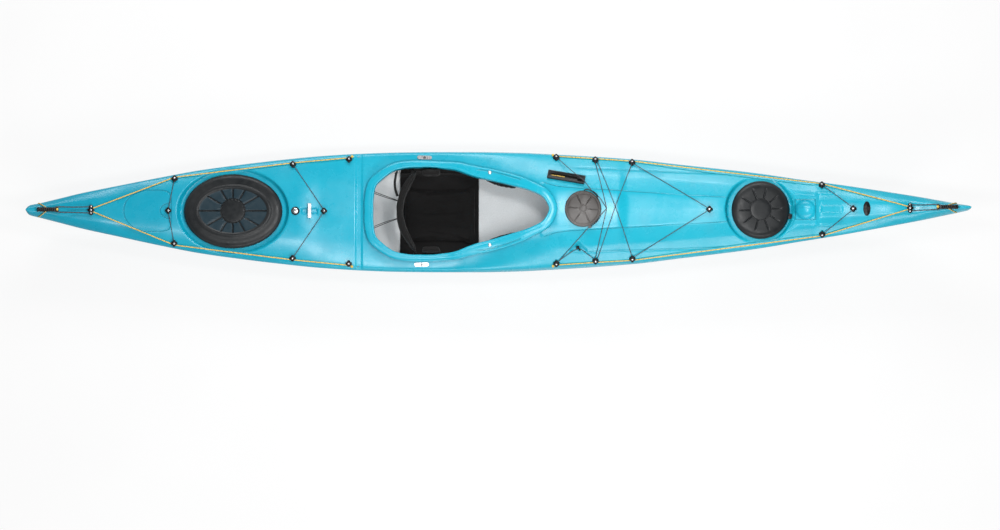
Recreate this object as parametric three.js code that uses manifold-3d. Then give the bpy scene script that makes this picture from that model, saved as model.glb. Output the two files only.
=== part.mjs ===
// A touring sea kayak in rotomoulded plastic, with three hatches, a keyhole cockpit and a skeg.
// Millimetres. X runs to the bow, Y to port and Z up, with the keel's flat at Z zero.
import * as THREE from "three";
import { mergeVertices } from "three/addons/utils/BufferGeometryUtils.js";
import Module from "manifold-3d";

const wasm = await Module();
wasm.setup();

// Hull sizes
const hullLength = 4720;
const hullBeam = 608;
const hullHeight = 444;
const shellWall = 5;
const keelFlatWidth = 160;
const solidTipLength = 75;
const fitGap = 0.3;
const overrun = 40;
const halfLength = hullLength / 2;
const halfBeam = hullBeam / 2;

// Cockpit sizes
const cockpitBack = -0.26356 * halfLength;
const cockpitFront = 0.10932 * halfLength;
const cockpitHalfWidth = 0.72368 * halfBeam;
const coamingWall = 8;
const coamingDrop = 10;
const coamingLip = 7;
const coamingLipSide = 33;
const coamingLipBack = 50;
const coamingLipFront = 41;

// Hatch sizes: centre, half length, half width, and the heights of the recess floor and the neck
const rearHatch = { x: -0.56186 * halfLength, long: 247, margin: 28, rise: 30, lap: 3 };
rearHatch.wide = 0.61349 * halfBeam;
const frontHatch = { x: 0.55805 * halfLength, margin: 23, rise: 30, lap: 4 };
frontHatch.long = 0.47697 * halfBeam;
frontHatch.wide = frontHatch.long;
rearHatch.floor = 0.52928 * hullHeight;
frontHatch.floor = 0.66667 * hullHeight;
for (const hatch of [rearHatch, frontHatch]) {
  hatch.neck = hatch.floor + hatch.rise;
  hatch.skirt = hatch.floor + hatch.lap;
}
const hatchWall = 5;
const hatchNeckInset = 40;
const lidWall = 5;
const lidCrown = 5;
const dayHatchX = 0.18136 * halfLength;
const dayLidRadius = 91;
const dayLidTop = 0.84685 * hullHeight;
const dayLidSkirt = 0.81532 * hullHeight;
const podRadius = 88;
const podFloor = 0.37162 * hullHeight;
const podNeck = 0.83333 * hullHeight;
const podTaper = 20;
const podSides = 24;
const podNeckWall = 4;

// Bulkheads and fittings below deck
const bulkheadThickness = 12;
const rearBulkheadX = -0.29661 * halfLength;
const frontBulkheadX = 0.40678 * halfLength;
const seatBack = -0.20847 * halfLength;
const seatFront = -0.03983 * halfLength;
const seatWall = 5;
const seatFlat = 60;
const seatSideGap = 8;
const seatHalfWidth = cockpitHalfWidth - seatSideGap;
const seatPadHalfWidth = 150;
const seatPadThickness = 24;
const seatPadCrown = 10;
const seatPadGroove = 4;
const seatPadMargin = 14;
const seatPadGrooves = 4;
const seatBilgeRise = 27;
const seatTurnRise = 60;
const seatUprightRise = 84;
const seatLeastSide = 86;
const seatSideTop = 0.48649 * hullHeight;
const backbandX = -0.20763 * halfLength;
const backbandDepth = 0.03814 * halfLength;
const backbandTop = 0.73198 * hullHeight;
const backbandFoot = 0.37162 * hullHeight;
const backbandHinge = 0.45045 * hullHeight;
const backbandStrap = 26;
const backbandThickness = 30;
const backbandStrapThickness = 4;
const hipPadBack = -0.16102 * halfLength;
const hipPadFront = -0.12076 * halfLength;
const hipPadLow = 0.42793 * hullHeight;
const hipPadTop = 0.6464 * hullHeight;
const hipPadThickness = 26;
const hipPadEdge = 8;
const thighBack = -0.02542 * halfLength;
const thighFront = 0.03898 * halfLength;
const thighInset = 12;
const thighReach = 64;
const thighThickness = 14;
const railBack = 0.18008 * halfLength;
const railFront = 0.36017 * halfLength;
const railHeight = 0.42793 * hullHeight;
const railDepth = 24;
const railThickness = 12;
const railFootLength = 40;
const pedalX = 0.27542 * halfLength;
const pedalWidth = 58;
const pedalReach = 82;
const pedalThickness = 8;
const pedalTop = 0.58108 * hullHeight;
const pedalFoot = 0.33784 * hullHeight;

// Skeg sizes
const skegBack = -0.82415 * halfLength;
const skegFront = -0.69915 * halfLength;
const skegTop = 0.50676 * hullHeight;
const skegBoxWidth = 18;
const skegBoxWall = 3;
const skegBladeWidth = 8;
const skegPivotInset = 24;
const skegPivotX = skegFront - skegPivotInset;
const skegPivotZ = 0.26577 * hullHeight;
const skegPinRadius = 3;
const pinClearance = 0.35;
const skegBladeLength = 0.92881 * (skegFront - skegBack);
const sliderAftX = 0.10678 * halfLength;
const sliderAftY = 0.58553 * halfBeam;
const sliderForeX = 0.18517 * halfLength;
const sliderForeY = 0.47039 * halfBeam;
const sliderWidth = 43;
const sliderHeight = 13;
const sliderSlot = 13;
const sliderMargin = 16;
const sliderFloor = 4;
const knobLength = 22;
const knobRise = 12;
const cableRadius = 3;

// Deck hardware
const eyeRadius = 16.5;
const eyeWaist = 11;
const eyeHeight = 17;
const eyeLobeDepth = 2.2;
const eyeLobes = 4;
const lineRadius = 3;
const boreClearance = 1.3;
const lineLow = 5.2;
const lineHigh = 12.2;
const lineLift = 1.6;
const lineStep = 15;
const knotRadius = 8;
const apexX = 0.2322 * halfLength;
const crossX = 0.25085 * halfLength;
const crossLift = 9;
const tieOffset = 4;
const barX = -0.39958 * halfLength;
const barSpan = 74;
const barWidth = 16;
const barRise = 20;
const barThickness = 6;
const toggleLength = 108;
const toggleWidth = 22;
const toggleHeight = 30;
const toggleCordRadius = 2.5;
const toggleOffset = 6;
const tipClearance = 0.6;
const sternHoleX = -0.97797 * halfLength;
const sternHoleZ = 0.68694 * hullHeight;
const bowHoleX = 0.97415 * halfLength;
const bowHoleZ = 0.91216 * hullHeight;

// Lines of the hull: each row is a share of half the length, then a share of the size it follows
const beamShares = [
  [-1, 0.05], [-0.9966, 0.072], [-0.971, 0.122], [-0.929, 0.204], [-0.886, 0.289],
  [-0.802, 0.428], [-0.717, 0.566], [-0.632, 0.691], [-0.547, 0.783], [-0.463, 0.862],
  [-0.378, 0.928], [-0.293, 0.97], [-0.208, 0.993], [-0.124, 1], [-0.04, 1], [0.046, 0.987],
  [0.131, 0.954], [0.215, 0.914], [0.3, 0.862], [0.385, 0.783], [0.47, 0.707], [0.554, 0.625],
  [0.639, 0.52], [0.724, 0.421], [0.808, 0.3125], [0.893, 0.197], [0.936, 0.132],
  [0.978, 0.066], [0.995, 0.04], [1, 0.026],
];
const keelShares = [
  [-1, 0.655], [-0.9975, 0.595], [-0.991, 0.516], [-0.975, 0.383], [-0.957, 0.252],
  [-0.946, 0.221], [-0.923, 0.2], [-0.823, 0.194], [-0.753, 0.176], [-0.741, 0.149],
  [-0.633, 0.124], [-0.482, 0.079], [-0.294, 0.034], [-0.22, 0], [0.16, 0], [0.236, 0.03],
  [0.3, 0.052], [0.512, 0.101], [0.679, 0.158], [0.766, 0.196], [0.844, 0.241],
  [0.875, 0.309], [0.898, 0.399], [0.921, 0.498], [0.9525, 0.622], [0.983, 0.779],
  [0.995, 0.854], [0.9975, 0.91], [1, 0.975],
];
const knuckleShares = [
  [-1, 0.69], [-0.975, 0.64], [-0.907, 0.617], [-0.797, 0.572], [-0.719, 0.534],
  [-0.596, 0.5045], [-0.325, 0.48], [-0.29, 0.471], [-0.056, 0.468], [0.119, 0.482],
  [0.218, 0.498], [0.482, 0.561], [0.652, 0.637], [0.764, 0.723], [0.858, 0.793],
  [0.932, 0.84], [0.975, 0.87], [0.9915, 0.9], [0.9975, 0.95], [1, 0.985],
];
const crownShares = [
  [-1, 0.745], [-0.975, 0.725], [-0.93, 0.7], [-0.887, 0.687], [-0.8445, 0.673],
  [-0.784, 0.637], [-0.709, 0.622], [-0.66, 0.606], [-0.56, 0.598], [-0.427, 0.6],
  [-0.375, 0.574], [-0.33, 0.563], [-0.25, 0.545], [-0.15, 0.5405], [-0.1, 0.555],
  [-0.06, 0.604], [-0.016, 0.646], [0.042, 0.716], [0.1, 0.779], [0.129, 0.8],
  [0.253, 0.802], [0.2775, 0.777], [0.33, 0.766], [0.404, 0.757], [0.48, 0.764],
  [0.56, 0.761], [0.623, 0.766], [0.668, 0.77], [0.687, 0.806], [0.727, 0.811],
  [0.761, 0.8355], [0.787, 0.847], [0.844, 0.89], [0.8745, 0.899], [0.93, 0.968],
  [0.96, 0.984], [0.993, 1], [1, 1],
];
const chineBreadthShares = [
  [-1, 0.6], [-0.88, 0.5], [-0.7, 0.61], [-0.607, 0.69], [-0.276, 0.74], [-0.06, 0.773],
  [0.22, 0.776], [0.49, 0.766], [0.63, 0.745], [0.77, 0.68], [0.864, 0.625], [1, 0.6],
];
const chineHeightShares = [
  [-1, 0.5], [-0.7, 0.49], [-0.607, 0.39], [-0.458, 0.35], [-0.276, 0.306], [-0.06, 0.26],
  [0.22, 0.263], [0.49, 0.41], [0.63, 0.548], [0.77, 0.665], [0.864, 0.757], [0.95, 0.8], [1, 0.8],
];
// The keel's flat, as a share of its full width
const flatShares = [
  [-1, 0.04], [-0.9, 0.18], [-0.5, 0.5], [-0.22, 1], [0.16, 1], [0.5, 0.5], [0.9, 0.12], [1, 0.02],
];
const edgeBreadthShares = [[-1, 0.88], [-0.86, 0.93], [-0.6, 0.95], [0.3, 0.955], [0.7, 0.93], [1, 0.85]];
const edgeHeightShares = [
  [-1, 0.5], [-0.8, 0.4], [-0.6, 0.36], [-0.43, 0.4], [-0.31, 0.55], [-0.17, 0.72], [0, 0.5],
  [0.125, 0.42], [0.21, 0.4], [0.29, 0.33], [0.7, 0.3], [0.87, 0.4], [1, 0.5],
];
const creaseBreadthShares = [
  [-1, 0.45], [0, 0.45], [0.13, 0.36], [0.215, 0.331], [0.343, 0.308], [0.7, 0.3], [1, 0.42],
];
const creaseHeightShare = 0.97;
const stationShares = [
  -1, -0.9975, -0.991, -0.975, -0.957, -0.923, -0.887, -0.823, -0.753, -0.741, -0.68, -0.6,
  -0.52, -0.44, -0.375, -0.3, -0.22, -0.15, -0.1, -0.06, -0.016, 0.042, 0.1, 0.129, 0.16,
  0.2, 0.253, 0.2775, 0.33, 0.404, 0.48, 0.56, 0.623, 0.668, 0.687, 0.727, 0.761, 0.8,
  0.844, 0.875, 0.898, 0.921, 0.9525, 0.975, 0.9915, 0.9975, 1,
];
// Port half of the cockpit's inner edge: shares of its length from the back, and of its half width
const cockpitShares = [
  [0, 0], [0, 0.24], [0.016, 0.58], [0.051, 0.73], [0.114, 0.91], [0.188, 0.986], [0.303, 1],
  [0.386, 0.98], [0.472, 0.927], [0.534, 0.832], [0.591, 0.755], [0.648, 0.7], [0.8, 0.536],
  [0.885, 0.436], [0.965, 0.27], [0.993, 0.1], [1, 0],
];
const coamingTopShares = [
  [-0.29, 0.61], [-0.127, 0.61], [-0.06, 0.676], [-0.016, 0.71], [0.1, 0.851], [0.129, 0.831],
];
// Deck eyes: a name, then shares of half the length and of half the beam
const eyeShares = [
  ["stern", -0.862, 0], ["aft", -0.6865, 0.53], ["aft_centre", -0.699, 0], ["rear", -0.435, 0.773],
  ["rear_centre", -0.3686, 0], ["seat", -0.316, 0.862], ["cockpit", 0.125, 0.868],
  ["knee", 0.208, 0.826], ["shin", 0.286, 0.789], ["foredeck_centre", 0.449, 0],
  ["fore", 0.688, 0.398], ["fore_centre", 0.753, 0], ["bow", 0.872, 0],
];

// The skeg's blade in side view, from its pivot, as shares of its length
const bladeShares = [
  [0.044, 0.029], [0.0365, -0.044], [-0.073, -0.1095], [-0.387, -0.1606], [-0.7445, -0.1387],
  [-0.956, 0.022], [-0.927, 0.2044], [-0.693, 0.27], [-0.219, 0.124],
];
// The skeg cable's way: shares of half the length, of half the beam and of the height
const cableTopShares = [0.1271, 0.5526];
const cableShares = [
  [0.1208, 0.5658, 0.6419], [0.0636, 0.75, 0.5], [-0.0212, 0.8618, 0.4505], [-0.1271, 0.8947, 0.4279],
  [-0.2542, 0.875, 0.4054], [-0.2966, 0.8487, 0.3941], [-0.4237, 0.7237, 0.3716],
  [-0.5508, 0.5658, 0.3604], [-0.6356, 0.4145, 0.3716], [-0.678, 0.1645, 0.4],
  [-0.6886, 0, 0.385],
];
// Where the aft elastic crosses the skeg slider, as shares of the slider's half length and width
const overSliderShares = [[0.64, 1.15], [1.05, 0.05]];

// Value of a table at a share, on a smooth curve that doesn't overshoot its rows
function along(table, at) {
  const last = table.length - 1;
  if (at <= table[0][0]) return table[0][1];
  if (at >= table[last][0]) return table[last][1];
  const slope = (i) => (table[i + 1][1] - table[i][1]) / (table[i + 1][0] - table[i][0]);
  const tangent = (i) => {
    if (i === 0) return slope(0);
    if (i === last) return slope(last - 1);
    const before = slope(i - 1);
    const after = slope(i);
    return before * after <= 0 ? 0 : (2 * before * after) / (before + after);
  };
  const i = table.findIndex((row) => row[0] > at) - 1;
  const span = table[i + 1][0] - table[i][0];
  const t = (at - table[i][0]) / span;
  const start = table[i][1];
  const end = table[i + 1][1];
  const rise = end - start;
  const a = tangent(i) * span;
  const b = tangent(i + 1) * span;
  return start + t * (a + t * (3 * rise - 2 * a - b + t * (a + b - 2 * rise)));
}

const mix = (a, b, t) => a + (b - a) * t;
const vec = (x, y, z) => new THREE.Vector3(x, y, z);

// Port half of a section, from the keel's flat edge out to the knuckle and in to the crown
const knuckleIndex = 5;
const widestShare = 0.5;
function halfSection(share) {
  const beam = along(beamShares, share) * halfBeam;
  const keel = along(keelShares, share) * hullHeight;
  const knuckle = along(knuckleShares, share) * hullHeight;
  const crown = along(crownShares, share) * hullHeight;
  const flat = (along(flatShares, share) * keelFlatWidth) / 2;
  const chineY = along(chineBreadthShares, share) * beam;
  const chineZ = mix(keel, knuckle, along(chineHeightShares, share));
  const edgeY = along(edgeBreadthShares, share) * beam;
  const edgeZ = mix(knuckle, crown, along(edgeHeightShares, share));
  const creaseY = along(creaseBreadthShares, share) * beam;
  const creaseZ = mix(knuckle, crown, creaseHeightShare);
  return [
    [flat, keel],
    [mix(flat, chineY, 0.55), mix(keel, chineZ, 0.42)],
    [mix(flat, chineY, 0.92), mix(keel, chineZ, 0.86)],
    [mix(chineY, beam, 0.08), mix(chineZ, knuckle, 0.12)],
    [mix(chineY, beam, 0.62), mix(chineZ, knuckle, widestShare)],
    [beam, knuckle],
    [mix(beam, edgeY, 0.35), mix(knuckle, edgeZ, 0.6)],
    [edgeY, edgeZ],
    [mix(edgeY, creaseY, 0.5), mix(edgeZ, creaseZ, 0.62)],
    [creaseY, creaseZ],
    [0, crown],
  ];
}

const stations = stationShares.map((share) => ({ x: share * halfLength, half: halfSection(share) }));

// The section between two stations, on the flat faces that join them
function halfAt(x) {
  let i = stations.findIndex((station) => station.x > x) - 1;
  if (i < 0) i = x < 0 ? 0 : stations.length - 2;
  const a = stations[i];
  const b = stations[i + 1];
  const t = (x - a.x) / (b.x - a.x);
  return a.half.map((point, k) => [mix(point[0], b.half[k][0], t), mix(point[1], b.half[k][1], t)]);
}

// Height of the deck, and half breadth of the side, on those faces
function deckZ(x, y) {
  const half = halfAt(x);
  const reach = Math.abs(y);
  for (let k = half.length - 1; k > knuckleIndex; k--) {
    const [innerY, innerZ] = half[k];
    const [outerY, outerZ] = half[k - 1];
    if (reach <= outerY) return mix(innerZ, outerZ, (reach - innerY) / (outerY - innerY));
  }
  return half[knuckleIndex][1];
}
function sideY(x, z) {
  const half = halfAt(x);
  for (let k = 0; k < knuckleIndex; k++) {
    const [lowY, lowZ] = half[k];
    const [highY, highZ] = half[k + 1];
    if (z <= highZ) return mix(lowY, highY, (z - lowZ) / (highZ - lowZ));
  }
  return half[knuckleIndex][0];
}

// A whole section as a closed outline, drawn in by an inset
function outlineAt(x, inset) {
  const half = halfAt(x);
  const mirrored = half.slice(0, -1).map(([y, z]) => [-y, z]);
  const ring = [...half, ...mirrored.reverse()];
  const count = ring.length;
  return ring.map(([y, z], i) => {
    const before = ring[(i + count - 1) % count];
    const after = ring[(i + 1) % count];
    const inward = new THREE.Vector2();
    for (const [from, to] of [[before, [y, z]], [[y, z], after]]) {
      const edge = new THREE.Vector2(to[0] - from[0], to[1] - from[1]).normalize();
      inward.add(new THREE.Vector2(-edge.y, edge.x));
    }
    const mitre = inward.length() / 2;
    inward.normalize().multiplyScalar(inset / Math.max(mitre, widestShare));
    return vec(x, y + inward.x, z + inward.y);
  });
}

// Closed surface from points and faces, as a solid with its faces outward
function solidOf(points, faces) {
  const flat = faces.flatMap((face) => face.flatMap((i) => points[i].toArray()));
  const loose = new THREE.BufferGeometry();
  loose.setAttribute("position", new THREE.Float32BufferAttribute(flat, 3));
  return solidFrom(loose);
}
const weldShare = 1e-8;
function solidFrom(geometry) {
  const bare = new THREE.BufferGeometry();
  bare.setAttribute("position", geometry.getAttribute("position"));
  if (geometry.index) bare.setIndex(geometry.index);
  const merged = mergeVertices(bare, weldShare * hullLength);
  const used = [];
  const index = merged.index.array;
  for (let i = 0; i < index.length; i += 3) {
    const face = [index[i], index[i + 1], index[i + 2]];
    if (new Set(face).size === 3) used.push(...face);
  }
  const build = (triangles) =>
    new wasm.Manifold(
      new wasm.Mesh({
        numProp: 3,
        vertProperties: new Float32Array(merged.attributes.position.array),
        triVerts: new Uint32Array(triangles),
      }),
    );
  const solid = build(used);
  return solid.volume() > 0 ? solid : build(used.reverse());
}

function geometryOf(solid) {
  const mesh = solid.getMesh();
  const points = new Float32Array(mesh.numVert * 3);
  for (let i = 0; i < mesh.numVert; i++) {
    points.set(mesh.vertProperties.subarray(i * mesh.numProp, i * mesh.numProp + 3), i * 3);
  }
  const geometry = new THREE.BufferGeometry();
  geometry.setAttribute("position", new THREE.BufferAttribute(points, 3));
  geometry.setIndex(new THREE.BufferAttribute(mesh.triVerts, 1));
  geometry.computeVertexNormals();
  return geometry;
}

// Triangles that close one end of a loft: steps between the ring's first half and its second
function capOf(ring) {
  const faces = [];
  for (let i = 0, j = ring.length - 1; i + 1 < j; i++, j--) {
    faces.push([i, i + 1, j]);
    if (i + 1 < j - 1) faces.push([i + 1, j - 1, j]);
  }
  return faces;
}

// Surface through rings of equal count, closed by end caps or joined round
function loft(rings, round = false) {
  const count = rings[0].length;
  const faces = [];
  const spans = round ? rings.length : rings.length - 1;
  for (let i = 0; i < spans; i++) {
    const a = i * count;
    const b = ((i + 1) % rings.length) * count;
    for (let j = 0; j < count; j++) {
      const k = (j + 1) % count;
      faces.push([a + j, a + k, b + k], [a + j, b + k, b + j]);
    }
  }
  if (!round) {
    const last = (rings.length - 1) * count;
    capOf(rings[0]).forEach((face) => faces.push([...face].reverse()));
    capOf(rings[rings.length - 1]).forEach((face) => faces.push(face.map((i) => last + i)));
  }
  return solidOf(rings.flat(), faces);
}

// A round cord through points, with a ring square to the way at each
function tube(points, radius, sides = 8) {
  const ways = points.map((point, i) => {
    const into = point.clone().sub(points[i - 1] ?? point).normalize();
    const out = (points[i + 1] ?? point).clone().sub(point).normalize();
    return into.add(out).normalize();
  });
  let across = vec(0, 0, 1).cross(ways[0]);
  if (across.lengthSq() < weldShare) across = vec(0, 1, 0);
  const rings = points.map((point, i) => {
    across.addScaledVector(ways[i], -across.dot(ways[i])).normalize();
    const over = ways[i].clone().cross(across);
    return Array.from({ length: sides }, (_, k) => {
      const turn = (2 * Math.PI * k) / sides;
      return point
        .clone()
        .addScaledVector(across, radius * Math.cos(turn))
        .addScaledVector(over, radius * Math.sin(turn));
    });
  });
  return loft(rings);
}

// A turned piece with an upright axis, stretched across to an oval
function turned(profile, x, y, wideShare = 1, segments = 28) {
  const geometry = new THREE.LatheGeometry(profile.map(([r, z]) => new THREE.Vector2(r, z)), segments);
  geometry.rotateX(Math.PI / 2);
  geometry.scale(1, wideShare, 1);
  geometry.translate(x, y, 0);
  return solidFrom(geometry);
}

// A flat outline in plan or in side view, given a thickness
function plate(outline, thickness) {
  const shape = new THREE.Shape(outline.map(([a, b]) => new THREE.Vector2(a, b)));
  return new THREE.ExtrudeGeometry(shape, { depth: thickness, bevelEnabled: false });
}
function uprightPlate(outline, thickness, y) {
  const geometry = plate(outline, thickness);
  geometry.rotateX(Math.PI / 2);
  geometry.translate(0, y + thickness / 2, 0);
  return solidFrom(geometry);
}

// A place on the deck: flush with it, turned about its normal, and just clear of its faces
function deckSeat(x, y, yaw, reachX, reachY) {
  const slopeX = (deckZ(x + reachX, y) - deckZ(x - reachX, y)) / (2 * reachX);
  const slopeY = y === 0 ? 0 : (deckZ(x, y + reachY) - deckZ(x, y - reachY)) / (2 * reachY);
  const normal = vec(-slopeX, -slopeY, 1).normalize();
  const tilt = new THREE.Quaternion().setFromUnitVectors(vec(0, 0, 1), normal);
  const turn = new THREE.Quaternion().setFromAxisAngle(vec(0, 0, 1), yaw);
  const facing = tilt.multiply(turn);
  const base = vec(x, y, deckZ(x, y));
  let lift = 0;
  const steps = [-1, -0.5, 0, 0.5, 1];
  for (const i of steps) {
    for (const j of steps) {
      const point = vec(i * reachX, j * reachY, 0).applyQuaternion(facing).add(base);
      lift = Math.max(lift, deckZ(point.x, point.y) - point.z);
    }
  }
  base.z += lift + fitGap;
  return new THREE.Matrix4().compose(base, facing, vec(1, 1, 1));
}

const finish = (color, roughness, metalness = 0) => ({ color, roughness, metalness });
const hullPlastic = finish(0x26b3c6, 0.42);
const blackPlastic = finish(0x17181a, 0.55);
const lidRubber = finish(0x222426, 0.7);
const seatPlastic = finish(0x1d1e20, 0.5);
const padFabric = finish(0x1b1c1f, 0.9);
const foamGrey = finish(0x6f7478, 0.85);
const steel = finish(0xb9bdc0, 0.3, 1);
const yellowCord = finish(0xe6c23c, 0.8);
const elasticCord = finish(0x2b2c2e, 0.8);

const kayak = new THREE.Group();
const root = new THREE.Group();
kayak.add(root);

function add(name, solid, look) {
  const mesh = new THREE.Mesh(geometryOf(solid), new THREE.MeshStandardMaterial(look));
  mesh.name = name;
  root.add(mesh);
}

// Cockpit edge, as a smooth closed curve grown outward by an amount
const cockpitLength = cockpitFront - cockpitBack;
const cockpitSteps = 44;
function cockpitEdge(grow) {
  const starboard = cockpitShares.slice(1, -1).map(([a, b]) => [a, -b]);
  const corners = [...cockpitShares, ...starboard.reverse()];
  const curve = new THREE.CatmullRomCurve3(
    corners.map(([a, b]) => vec(cockpitBack + a * cockpitLength, b * cockpitHalfWidth, 0)),
    true,
    "centripetal",
  );
  const points = curve.getSpacedPoints(cockpitSteps).slice(0, -1);
  return points.map((point, i) => {
    const before = points[(i + points.length - 1) % points.length];
    const after = points[(i + 1) % points.length];
    const way = after.clone().sub(before).normalize();
    const out = vec(-way.y, way.x, 0);
    const far = typeof grow === "function" ? grow(point) : grow;
    return { at: point, out, grown: point.clone().addScaledVector(out, far) };
  });
}

// Hull and deck shells: the whole outside in two halves, less the space inside
const topGap = vec(0, 0, fitGap);
function shellHalf(upper) {
  return loft(
    stations.map(({ x }) => {
      const ring = outlineAt(x, 0);
      const last = ring.length - 1;
      if (upper) return ring.slice(knuckleIndex, last + 1 - knuckleIndex).map((p) => p.add(topGap));
      return [...ring.slice(last - knuckleIndex), ...ring.slice(0, knuckleIndex + 1)];
    }),
  );
}
const innerStations = stations.filter(({ x }) => Math.abs(x) < halfLength - solidTipLength);
const inside = loft(innerStations.map(({ x }) => outlineAt(x, shellWall)));

const boxProfile = (grow) => {
  const back = skegBack - grow;
  const front = skegFront + grow;
  const steps = [0, 0.25, 0.5, 0.66, 0.71, 0.85, 1];
  const foot = steps.map((t) => mix(back, front, t)).map((x) => [x, halfAt(x)[0][1] + skegBoxWall]);
  const round = (front - back) / 6;
  return [...foot, [front, skegTop - round + grow], [front - round, skegTop + grow], [back, skegTop + grow]];
};

function hullShell() {
  const slotWidth = skegBoxWidth + 2 * fitGap;
  const deep = boxProfile(fitGap).map(([x, z]) => [x, z < skegPivotZ ? z - overrun : z]);
  return shellHalf(false).subtract(inside).subtract(uprightPlate(deep, slotWidth, 0));
}
add("hull", hullShell(), hullPlastic);

// Round or oval hole straight down through the deck
function deckHole(hatch, grow) {
  const long = hatch.long + hatch.margin + grow;
  const profile = [[0, podFloor], [long, podFloor], [long, hullHeight + overrun], [0, hullHeight + overrun]];
  const wide = hatch.wide + hatch.margin + grow;
  return turned(profile, hatch.x, 0, wide / long);
}

// Cords: their ways through the deck eyes, just above the deck
const eyes = [];
for (const [name, alongShare, outShare] of eyeShares) {
  const x = alongShare * halfLength;
  const y = outShare * halfBeam;
  const sides = y === 0 ? [["", 0]] : [["_port", 1], ["_starboard", -1]];
  for (const [suffix, side] of sides) {
    const seat = deckSeat(x, side * y, 0, eyeRadius, eyeRadius);
    eyes.push({ name: name + suffix, x, y: side * y, seat });
  }
}
const eyeAt = (name) => eyes.find((eye) => eye.name === name);
const through = (name, height, dx = 0, dy = 0) =>
  vec(dx, dy, height).applyMatrix4(eyeAt(name).seat);
const overDeck = (x, y, lift = 0) => vec(x, y, deckZ(x, y) + lineRadius + lineLift + lift);

// A cord's points: the given ones, and between them the taut way over the deck
function layCord(stops) {
  const points = [stops[0]];
  for (let i = 1; i < stops.length; i++) {
    const from = stops[i - 1];
    const to = stops[i];
    const count = Math.max(1, Math.round(from.distanceTo(to) / lineStep));
    const tautWay = [{ at: 0, point: from }];
    for (let k = 1; k <= count; k++) {
      const point = from.clone().lerp(to, k / count);
      const nearEnd = Math.min(k, count - k) * lineStep < eyeRadius;
      if (!nearEnd) point.z = overDeck(point.x, point.y).z;
      const next = { at: k / count, point: k === count ? to : point };
      while (tautWay.length > 1 && sags(tautWay.at(-2), tautWay.at(-1), next)) tautWay.pop();
      tautWay.push(next);
    }
    points.push(...tautWay.slice(1).map(({ point }) => point));
  }
  return points;
}
// Whether the middle point of three lies under the line from the first to the last
function sags(first, middle, last) {
  const t = (middle.at - first.at) / (last.at - first.at);
  return middle.point.z <= mix(first.point.z, last.point.z, t);
}
const cordBore = lineRadius + boreClearance;
function knotAt(point) {
  const ball = new THREE.IcosahedronGeometry(knotRadius, 1);
  ball.translate(point.x, point.y, point.z);
  return solidFrom(ball);
}

const mirrorPoint = (p) => vec(p.x, -p.y, p.z);
// Deck lines run from a knot at one eye round the end of the boat to a knot at the other
const knotReach = eyeRadius + knotRadius + boreClearance;
function deckLineStops(knotEye, knotWay, between, endEye) {
  const port = [through(`${knotEye}_port`, lineLow + 3 * lineRadius, knotWay * knotReach, 0)];
  port.push(through(`${knotEye}_port`, lineLow));
  between.forEach((name) => port.push(through(`${name}_port`, lineLow)));
  const turnEye = [through(endEye, lineLow, 0, lineLow), through(endEye, lineLow, 0, -lineLow)];
  const starboard = port.map(mirrorPoint).reverse();
  return [...port, ...turnEye, ...starboard];
}
const rearStops = deckLineStops("seat", 1, ["rear", "aft"], "stern");
const frontStops = deckLineStops("cockpit", -1, ["knee", "shin", "fore"], "bow");

// Elastics: the apex on the centre line, the cross, and the straight ties
const apex = overDeck(apexX, 0, lineRadius);
// The aft pair passes over the slider's fore end and round the day hatch lid
const lidTurn = dayLidRadius + 5 * lineRadius;
const roundLid = (turn, side) =>
  overDeck(dayHatchX + lidTurn * Math.cos(turn), side * lidTurn * Math.sin(turn));
const lidTurns = [1.12, 0.55];
const sliderAft = new THREE.Vector2(sliderAftX, sliderAftY);
const sliderFore = new THREE.Vector2(sliderForeX, sliderForeY);
const sliderYaw = Math.atan2(sliderFore.y - sliderAft.y, sliderFore.x - sliderAft.x);
const sliderLength = sliderFore.distanceTo(sliderAft);
const sliderMiddle = sliderAft.clone().add(sliderFore).multiplyScalar(0.5);
const sliderSeat = deckSeat(sliderMiddle.x, sliderMiddle.y, sliderYaw, sliderLength / 2, sliderWidth / 2);
const overSlider = overSliderShares.map(([a, b]) =>
  vec(
    (a * sliderLength) / 2,
    (b * sliderWidth) / 2,
    sliderHeight + lineRadius + lineLift,
  ).applyMatrix4(sliderSeat),
);
const tieStops = (outer, centre) => [
  through(`${outer}_port`, lineHigh),
  through(centre, lineHigh, 0, tieOffset),
  through(centre, lineHigh, 0, -tieOffset),
  through(`${outer}_starboard`, lineHigh),
];
const cordWays = {
  rear_deck_line: [rearStops],
  front_deck_line: [frontStops],
  rear_elastic_aft: [tieStops("aft", "aft_centre")],
  rear_elastic_forward: [tieStops("rear", "rear_centre")],
  bow_elastic: [tieStops("fore", "fore_centre")],
  foredeck_elastic_aft: [
    [
      through("cockpit_port", lineHigh),
      ...overSlider,
      ...lidTurns.map((turn) => roundLid(turn, 1)),
      apex,
      through("knee_starboard", lineHigh, -tieOffset, 0),
    ],
    [
      through("cockpit_starboard", lineHigh),
      ...lidTurns.map((turn) => roundLid(turn, -1)),
      apex,
      through("knee_port", lineHigh, -tieOffset, 0),
    ],
  ],
  foredeck_elastic_cross: [[
    through("knee_port", lineHigh, eyeWaist, 0),
    overDeck(crossX, tieOffset),
    through("shin_starboard", lineHigh, 0, tieOffset),
    through("foredeck_centre", lineHigh, -tieOffset, -tieOffset),
    through("foredeck_centre", lineHigh, -tieOffset, tieOffset),
    through("shin_port", lineHigh, 0, -tieOffset),
    overDeck(crossX, tieOffset, crossLift),
    through("knee_starboard", lineHigh, eyeWaist, 0),
  ]],
};
const laid = Object.entries(cordWays).map(([name, ways]) => ({ name, ways: ways.map(layCord) }));
const bores = laid.flatMap(({ ways }) => ways.map((way) => tube(way, cordBore)));

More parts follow.
